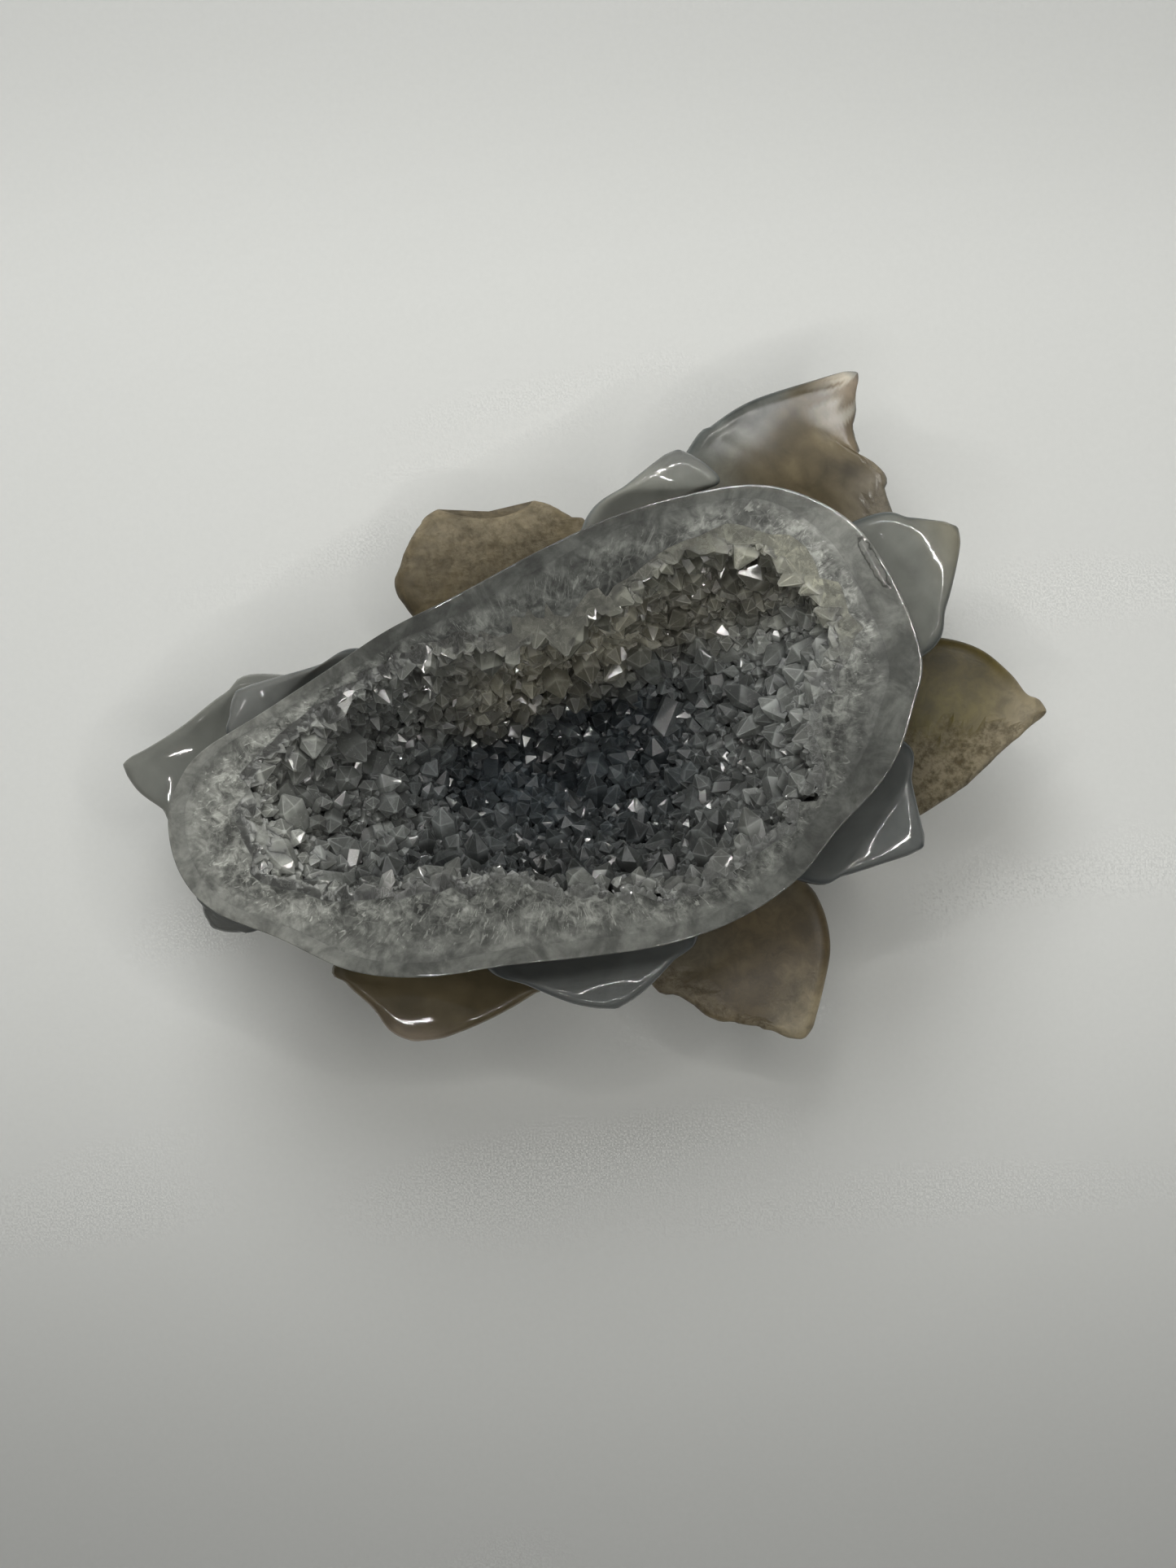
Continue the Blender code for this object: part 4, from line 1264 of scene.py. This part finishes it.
# The crystals: how pale their milk is, how dark their feet are painted, as shade down between the crystals,
# how milky facets and crystals get, and how strongly the painted highlight along their edges and their
# threads show.
PALE_SHADE = 2.2
PALE_LIFT = (0.045, 0.05, 0.05)
FOOT_PAINTED_SHADE = 0.85
FOOT_ENDS = 0.8
MILKY_FACETS = (0.6, 1.0)
MILKY_CRYSTALS = (0.35, 0.9, 0.0, 0.6)
MILK_COVER = (0.15, 0.65)
EDGE_HIGHLIGHT_LINE = (0.72, 1.0)
EDGE_HIGHLIGHT_COVER = (0.15, 0.85)
CRYSTAL_THREAD_COVER = 0.6

QUARTZ_IOR = 1.54

# The paper: its two grays, and the painted shade that darkens it towards the front and the back, where the
# light falls off: how far, and where.
PAPER_DARK = (0.70, 0.71, 0.685)
PAPER_LIGHT = (0.74, 0.75, 0.725)
FRONT_PAINTED_SHADE = 0.58
FRONT_DARKENS = (-0.02, -0.175)
BACK_PAINTED_SHADE = 0.82
BACK_DARKENS = (0.07, 0.14)


class Nodes:
    """Adds shader nodes to a material, with values and links given by socket name."""

    def __init__(self, name):
        self.material = bpy.data.materials.new(name)
        self.material.use_nodes = True
        self.tree = self.material.node_tree
        self.shader = self.tree.nodes["Principled BSDF"]

    def add(self, kind, settings=None, **sockets):
        """A new node with its settings, and values or links for its sockets."""
        node = self.tree.nodes.new(kind)
        for key, value in (settings or {}).items():
            setattr(node, key, value)
        for key, value in sockets.items():
            self.feed(node, key.replace("_", " "), value)
        return node

    def feed(self, node, socket, value):
        """Links or sets one socket, given by name or number."""
        if isinstance(value, bpy.types.NodeSocket):
            self.tree.links.new(value, node.inputs[socket])
        else:
            node.inputs[socket].default_value = value

    def shade(self, **sockets):
        """Links or sets the shader's own sockets."""
        for key, value in sockets.items():
            self.feed(self.shader, key.replace("_", " "), value)

    def attribute(self, name, output="Fac"):
        """What the mesh gives under this name."""
        return self.add("ShaderNodeAttribute", {"attribute_name": name}).outputs[output]

    def place(self):
        """The place on the object, in metres."""
        where = self.add("ShaderNodeTexCoord").outputs["Object"]
        return self.add("ShaderNodeMapping", Vector=where).outputs["Vector"]

    def noise(self, scale, detail, roughness, distortion=0.0, vector=None):
        """Noise by place, or by another vector."""
        node = self.add("ShaderNodeTexNoise", Scale=scale, Detail=detail, Roughness=roughness)
        node.inputs["Distortion"].default_value = distortion
        self.feed(node, "Vector", vector or self.place())
        return node.outputs["Fac"]

    def remap(self, value, low, high, to_low=0.0, to_high=1.0):
        """Turns smoothly from to_low, at low, to to_high, at high."""
        node = self.add("ShaderNodeMapRange", {"interpolation_type": "SMOOTHSTEP"}, Value=value)
        for key, number in zip(("From Min", "From Max", "To Min", "To Max"), (low, high, to_low, to_high)):
            node.inputs[key].default_value = number
        return node.outputs["Result"]

    def pattern(self, name, to_low=0.0, to_high=1.0, vector=None):
        """One of PATTERNS."""
        *waves, low, high = PATTERNS[name]
        return self.remap(self.noise(*waves, vector), low, high, to_low, to_high)

    def math(self, operation, a, b):
        """A sum, product or the like of two numbers or links."""
        node = self.add("ShaderNodeMath", {"operation": operation})
        self.feed(node, 0, a)
        self.feed(node, 1, b)
        return node.outputs[0]

    def times(self, a, b):
        """The product of two numbers or links."""
        return self.math("MULTIPLY", a, b)

    def mix(self, share, a, b, blend_type="MIX"):
        """Colour a where share is 0, and b where it is 1."""
        settings = {"data_type": "RGBA", "blend_type": blend_type, "clamp_factor": True}
        node = self.add("ShaderNodeMix", settings)
        self.feed(node, 0, share)
        for socket, colour in ((6, a), (7, b)):
            self.feed(node, socket, (*colour, 1) if isinstance(colour, tuple) else colour)
        return node.outputs[2]

    def scaled(self, colour, factor):
        """The colour times a number."""
        return self.mix(1.0, colour, (factor, factor, factor), "MULTIPLY")

    def between(self, share, colour, low, high):
        """The colour times low where share is 0, and times high where it is 1."""
        return self.mix(share, self.scaled(colour, low), self.scaled(colour, high))

    def over(self, cover, strength, colour, marking):
        """The colour under a marking that covers it by cover · strength."""
        return self.mix(self.times(cover, strength), colour, marking)

    def cells(self, scale):
        """A random shade for each cell of a mosaic with wavering borders, and the distance to the border."""
        waver = self.add("ShaderNodeTexNoise", Scale=MOSAIC_WAVER_SCALE, Vector=self.place())
        shift = self.add("ShaderNodeVectorMath", {"operation": "SCALE"}, Scale=MOSAIC_WAVER)
        self.feed(shift, 0, waver.outputs["Color"])
        moved = self.add("ShaderNodeVectorMath", {"operation": "ADD"})
        self.feed(moved, 0, shift.outputs[0])
        self.feed(moved, 1, self.place())
        mosaic = self.add("ShaderNodeTexVoronoi", Scale=scale, Vector=moved.outputs[0])
        split = self.add("ShaderNodeSeparateColor", Color=mosaic.outputs["Color"])
        borders = {"feature": "DISTANCE_TO_EDGE"}
        borders = self.add("ShaderNodeTexVoronoi", borders, Scale=scale, Vector=moved.outputs[0])
        return split.outputs[0], borders.outputs["Distance"]

    def clouded(self, tone):
        """Soft clouds and a fine grain, the same in every piece because they go by place."""
        colour = self.between(self.times(self.pattern("clouds"), CLOUD_COVER), tone, *CLOUD_SHADES)
        return self.over(self.pattern("fine_grain"), GRAIN_COVER, colour, self.scaled(colour, GRAIN_SHADE))

    def chip_scar_shade(self):
        """The flake scar's painted shade, a dark outline: 1 where r is near 1, with r² = (a/length)² +
        (b/width)².
        """
        half = (CHIP_HALF_LENGTH * MM, CHIP_HALF_WIDTH * MM, 1.0)
        turn = math.atan2(CHIP_ALONG[1], CHIP_ALONG[0])
        place = self.add("ShaderNodeMapping", {"vector_type": "TEXTURE"}, Vector=self.place(), Scale=half)
        place.inputs["Location"].default_value = (*(CHIP_PLACE * MM), 0.0)
        place.inputs["Rotation"].default_value = (0.0, 0.0, turn)
        reach = self.add("ShaderNodeVectorMath", {"operation": "LENGTH"}, Vector=place.outputs["Vector"])
        waver = self.pattern("scar_waver", -SCAR_WAVER, SCAR_WAVER)
        wavering = self.math("ADD", reach.outputs["Value"], waver)
        from_line = self.math("ABSOLUTE", self.math("SUBTRACT", wavering, 1.0), 0.0)
        return self.remap(from_line, *SCAR_LINE, 1.0, 0.0)

    def specks(self):
        """Round specks, one in about half of the cells of a mosaic."""
        dots = self.add("ShaderNodeTexVoronoi", Scale=SPECK_SCALE, Vector=self.place())
        chance = self.add("ShaderNodeSeparateColor", Color=dots.outputs["Color"]).outputs[0]
        inside = self.remap(dots.outputs["Distance"], *SPECK_RADIUS, 1.0, 0.0)
        return self.times(inside, self.remap(chance, *SPECK_CHANCE))


def agate_material():
    """Polished agate, with clouds and faint veils, matte crumbly skin where it was left rough, and painted
    shade round the flake's scar.
    """
    n = Nodes("polished_agate")
    stone = n.attribute("stone", "Color")
    skin, dull, rim = (n.attribute(name) for name in BLENDED)
    veiled = n.over(n.pattern("agate_veils"), VEIL_COVER, stone, n.scaled(stone, VEIL_SHADE))
    colour = n.mix(rim, veiled, n.clouded(stone))
    colour = n.mix(dull, colour, n.between(n.pattern("dull_grain"), colour, *DULL_SHADES))
    crumbs = n.times(n.math("ADD", n.noise(*FINE_CRUMBS), n.noise(*COARSE_CRUMBS)), 0.5)
    skin_colour = n.mix(n.remap(crumbs, *CRUMB_BORDER), SKIN_DARK, SKIN_LIGHT)
    colour = n.over(skin, SKIN_COVER, colour, skin_colour)
    # Painted shade: a dark outline round the flake's scar.
    colour = n.over(n.times(n.chip_scar_shade(), rim), SCAR_SHADE_COVER, colour, SCAR_SHADE_COLOUR)
    worn = n.math("ADD", n.math("MAXIMUM", skin, dull), n.times(n.noise(*WEAR), WEAR_SHARE))
    relief = n.times(crumbs, n.math("ADD", skin, LEAST_RELIEF))
    bump = n.add("ShaderNodeBump", Height=relief, Strength=RELIEF_STRENGTH, Distance=RELIEF_HEIGHT)
    n.shade(Base_Color=colour, Roughness=n.remap(worn, 0.0, WORN_OUT, *AGATE_ROUGHNESS), IOR=QUARTZ_IOR)
    n.shade(Subsurface_Weight=0.3, Subsurface_Scale=0.003, Subsurface_Radius=(1.0, 0.9, 0.8))
    n.shade(Normal=bump.outputs["Normal"])
    return n.material


def face_material():
    """Polished quartz: gray and cloudy, with white feathery veils and outlines of crystals cut through."""
    n = Nodes("polished_quartz")
    tone, into, veiled = n.attribute("tone", "Color"), n.attribute("into"), n.attribute("veiled")
    feather = n.attribute("feather", "Vector")
    white = n.scaled(tone, WHITE_SHADE)
    colour = n.clouded(n.mix(n.remap(into, *RIM_ZONE), n.scaled(tone, FACE_RIM_SHADE), tone))
    colour = n.between(n.pattern("broad_shades"), colour, *BROAD_SHADES)
    blotched = n.between(n.pattern("blotches"), colour, *BLOTCH_SHADES)
    colour = n.mix(n.remap(into, *BLOTCH_ZONE), colour, blotched)
    feathery = n.remap(into, *FEATHER_ZONE)
    for name, cover in (("feather_veils", FEATHER_COVER), ("feather_threads", THREAD_COVER)):
        colour = n.over(n.times(n.pattern(name, vector=feather), feathery), cover, colour, white)
    shade, to_border = n.cells(MOSAIC_SCALE)
    colour = n.mix(n.remap(into, *MOSAIC_ZONE), colour, n.between(shade, colour, *MOSAIC_SHADES))
    outline = n.times(n.remap(to_border, 0.0, OUTLINE_WIDTH, 1.0, 0.0), n.pattern("outline_patches"))
    colour = n.over(outline, n.remap(into, *OUTLINE_ZONE), colour, white)
    colour = n.over(n.specks(), n.times(veiled, SPECK_COVER), colour, SPECK_COLOUR)
    n.shade(Base_Color=colour, Roughness=0.13, IOR=QUARTZ_IOR)
    n.shade(Subsurface_Weight=0.35, Subsurface_Scale=0.003, Subsurface_Radius=(1.0, 0.95, 0.9))
    return n.material


def crystal_material():
    """Clear to milky quartz points: dark and see-through, with pale facets, clouds and threads, a painted
    highlight along the edges and painted shade at the feet.
    """
    n = Nodes("clear_quartz")
    tone = n.attribute("tone", "Color")
    tip, milk, facet, edge = (n.attribute(name) for name in ("tip", "milk", "facet", "edge"))
    pale = n.mix(1.0, n.scaled(tone, PALE_SHADE), PALE_LIFT, "ADD")
    # Painted shade: the feet, down between the crystals, are darker.
    colour = n.mix(n.remap(tip, 0.0, FOOT_ENDS), n.scaled(tone, FOOT_PAINTED_SHADE), tone)
    milky = n.math("ADD", n.remap(facet, *MILKY_FACETS), n.remap(milk, *MILKY_CRYSTALS))
    clouds = n.remap(n.pattern("crystal_clouds"), 0.0, 1.0, *MILK_COVER)
    colour = n.over(milky, clouds, colour, pale)
    # Painted highlight: pale lines along the facets' edges.
    colour = n.over(n.remap(edge, *EDGE_HIGHLIGHT_LINE), n.pattern("painted_edge_highlights", *EDGE_HIGHLIGHT_COVER), colour, pale)
    colour = n.over(n.pattern("crystal_threads"), CRYSTAL_THREAD_COVER, colour, pale)
    n.shade(Base_Color=colour, Roughness=0.3, Specular_IOR_Level=0.0, IOR=QUARTZ_IOR)
    n.shade(Transmission_Weight=0.25)
    n.shade(Subsurface_Weight=0.8, Subsurface_Scale=0.0022, Subsurface_Radius=(1.0, 1.0, 0.95))
    n.shade(Coat_Weight=1.0, Coat_Roughness=0.11, Coat_IOR=QUARTZ_IOR)
    return n.material


def floor_material():
    """Pale paper, with painted shade that darkens it towards the front, and a little towards the back."""
    n = Nodes("pale_paper")
    paper = n.mix(n.noise(*PAPER_GRAIN), PAPER_DARK, PAPER_LIGHT)
    where = n.add("ShaderNodeTexCoord").outputs["Object"]
    along = n.add("ShaderNodeSeparateXYZ", Vector=where).outputs["Y"]
    # Painted shade: darker towards the front and the back, where the light falls off.
    for border, factor in ((FRONT_DARKENS, FRONT_PAINTED_SHADE), (BACK_DARKENS, BACK_PAINTED_SHADE)):
        paper = n.mix(n.remap(along, *border), paper, n.scaled(paper, factor))
    n.shade(Base_Color=paper, Roughness=0.9, Specular_IOR_Level=0.2)
    return n.material


# The stage, in metres.

FLOOR_HALF = 1.6

# The ring of lights round the camera: how many, the degrees that they take up, where and how large they are.
LED_COUNT = 42
LED_ARC = (-142, 142)
LED_RING_RADIUS = 0.15
LED_RING_HEIGHT = 0.475
LED_RADIUS = 0.0022
LED_STRENGTH = 580

# The lamps for the crystals' glints: how many, the angles from the zenith in degrees, how far off and large.
GLINT_COUNT = 40
GLINT_ZENITHS = (16, 48)
GLINT_DISTANCE = 0.55
GLINT_RADIUS = 0.007
GLINT_STRENGTH = 85
GOLDEN_TURN = math.pi * (3 - math.sqrt(5))

LAMP_COLOUR = (1, 0.98, 0.95, 1)

# The soft light from a window at the back.
WINDOW_PLACE = (-0.1, 0.36, 0.5)
WINDOW_TARGET = (0, 0, 0.02)
WINDOW_SIZE = 0.3
WINDOW_POWER = 1.9

# The light from all round: its colour at the horizon and overhead, where it is full, and its strength.
HORIZON_COLOUR = (0.03, 0.03, 0.03, 1)
ZENITH_COLOUR = (0.30, 0.305, 0.30, 1)
ZENITH_STARTS = 0.9
SKY_STRENGTH = 0.72


def make_floor():
    """The level floor that the stone stands on."""
    corners = np.array([(-1, -1, 0), (1, -1, 0), (1, 1, 0), (-1, 1, 0)]) * FLOOR_HALF / MM
    floor = mesh_object("floor", corners, [np.array([[0, 1, 2, 3]])])
    floor.data.materials.append(floor_material())


def light_material(name, strength):
    """A surface that gives light."""
    n = Nodes(name)
    n.shade(Base_Color=(0, 0, 0, 1), Emission_Color=LAMP_COLOUR, Emission_Strength=strength)
    return n.material


def make_discs(name, points, strength):
    """Lamps from the corners of six-sided discs, in metres. The camera doesn't see them."""
    corners = [np.arange(len(points)).reshape(-1, SIDES)]
    discs = mesh_object(name, points / MM, corners)
    discs.data.materials.append(light_material(name, strength))
    discs.visible_camera = False
    return discs


def make_led_ring():
    """A ring of small lights round the camera, six-sided discs that face down."""
    turn = np.linspace(*np.radians(LED_ARC), LED_COUNT)
    middle = np.column_stack([np.cos(turn), np.sin(turn), 0 * turn]) * LED_RING_RADIUS
    middle = middle + np.array([CAMERA_PLACE[0], CAMERA_PLACE[1], LED_RING_HEIGHT])
    disc = np.column_stack([np.cos(HEXAGON), -np.sin(HEXAGON), 0 * HEXAGON]) * LED_RADIUS
    make_discs("led_ring", (middle[:, None] + disc).reshape(-1, 3), LED_STRENGTH)


def make_glint_lights(lit):
    """Small six-sided lamps high round the stone, for the glints on the crystals' facets and nothing else.

    The lamp i stands at turn i · GOLDEN_TURN, and its angle from the zenith grows from first to last.
    """
    turn = np.arange(GLINT_COUNT) * GOLDEN_TURN
    zenith = np.radians(np.linspace(*GLINT_ZENITHS, GLINT_COUNT))
    towards = np.column_stack([np.cos(turn) * np.sin(zenith), np.sin(turn) * np.sin(zenith), np.cos(zenith)])
    side = unit(np.cross(towards, [0, 0, 1]))
    front = np.cross(towards, side)
    disc = side[:, None] * np.cos(HEXAGON)[:, None] - front[:, None] * np.sin(HEXAGON)[:, None]
    points = towards[:, None] * GLINT_DISTANCE + disc * GLINT_RADIUS
    lamps = make_discs("glint_lights", points.reshape(-1, 3), GLINT_STRENGTH)
    lamps.visible_diffuse = False
    lamps.light_linking.receiver_collection = lit


def make_window():
    """A round soft light that gives no highlight."""
    light = bpy.data.lights.new("window", "AREA")
    light.shape, light.size, light.energy = "DISK", WINDOW_SIZE, WINDOW_POWER
    window = bpy.data.objects.new("window", light)
    bpy.context.scene.collection.objects.link(window)
    window.location = WINDOW_PLACE
    window.visible_glossy = False
    towards = Vector(WINDOW_TARGET) - Vector(WINDOW_PLACE)
    window.rotation_euler = towards.to_track_quat("-Z", "Y").to_euler()


def make_world():
    """Soft light from all round, dimmer near the horizon."""
    world = bpy.data.worlds.new("studio")
    bpy.context.scene.world = world
    world.use_nodes = True
    tree = world.node_tree
    where = tree.nodes.new("ShaderNodeTexCoord")
    split = tree.nodes.new("ShaderNodeSeparateXYZ")
    sky = tree.nodes.new("ShaderNodeValToRGB")
    background = tree.nodes["Background"]
    tree.links.new(where.outputs["Generated"], split.inputs[0])
    tree.links.new(split.outputs["Z"], sky.inputs["Fac"])
    tree.links.new(sky.outputs["Color"], background.inputs["Color"])
    horizon, zenith = sky.color_ramp.elements
    horizon.position, horizon.color = 0.0, HORIZON_COLOUR
    zenith.position, zenith.color = ZENITH_STARTS, ZENITH_COLOUR
    background.inputs["Strength"].default_value = SKY_STRENGTH


def make_camera():
    """The camera, which looks straight down."""
    data = bpy.data.cameras.new("camera")
    data.sensor_width = SENSOR
    data.lens = SENSOR * FOCAL_PIXELS / FRAME_LONG_SIDE
    camera = bpy.data.objects.new("camera", data)
    bpy.context.scene.collection.objects.link(camera)
    camera.location = CAMERA_PLACE
    bpy.context.scene.camera = camera


def carry(piece, slot, *nodes):
    """Puts a piece on the body, and hides the solids that it stands for. slot is not used."""
    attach(piece, ROOT_BODY)
    if nodes:
        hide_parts(*nodes)


rng = np.random.default_rng(SEED)
carry(make_agate(), "agate", "carved_lotus")
quartz, hollow_lining = make_crust(rng)
carry(quartz, "quartz", "crystal_crust")
crystals = grow_crystals(hollow_lining, rng)
clear_quartz = crystal_material()
glinting = bpy.data.collections.new("glinting")
large = crystals[2] > LARGE_CRYSTAL
for name, kind in (("large_crystals", large), ("small_crystals", ~large)):
    piece = make_crystals(name, *(values[kind] for values in crystals), rng)
    piece.data.materials.append(clear_quartz)
    glinting.objects.link(piece)
    carry(piece, "quartz")
make_floor()
make_led_ring()
make_glint_lights(glinting)
make_world()
make_window()
make_camera()
bpy.context.scene.view_settings.view_transform = "Standard"
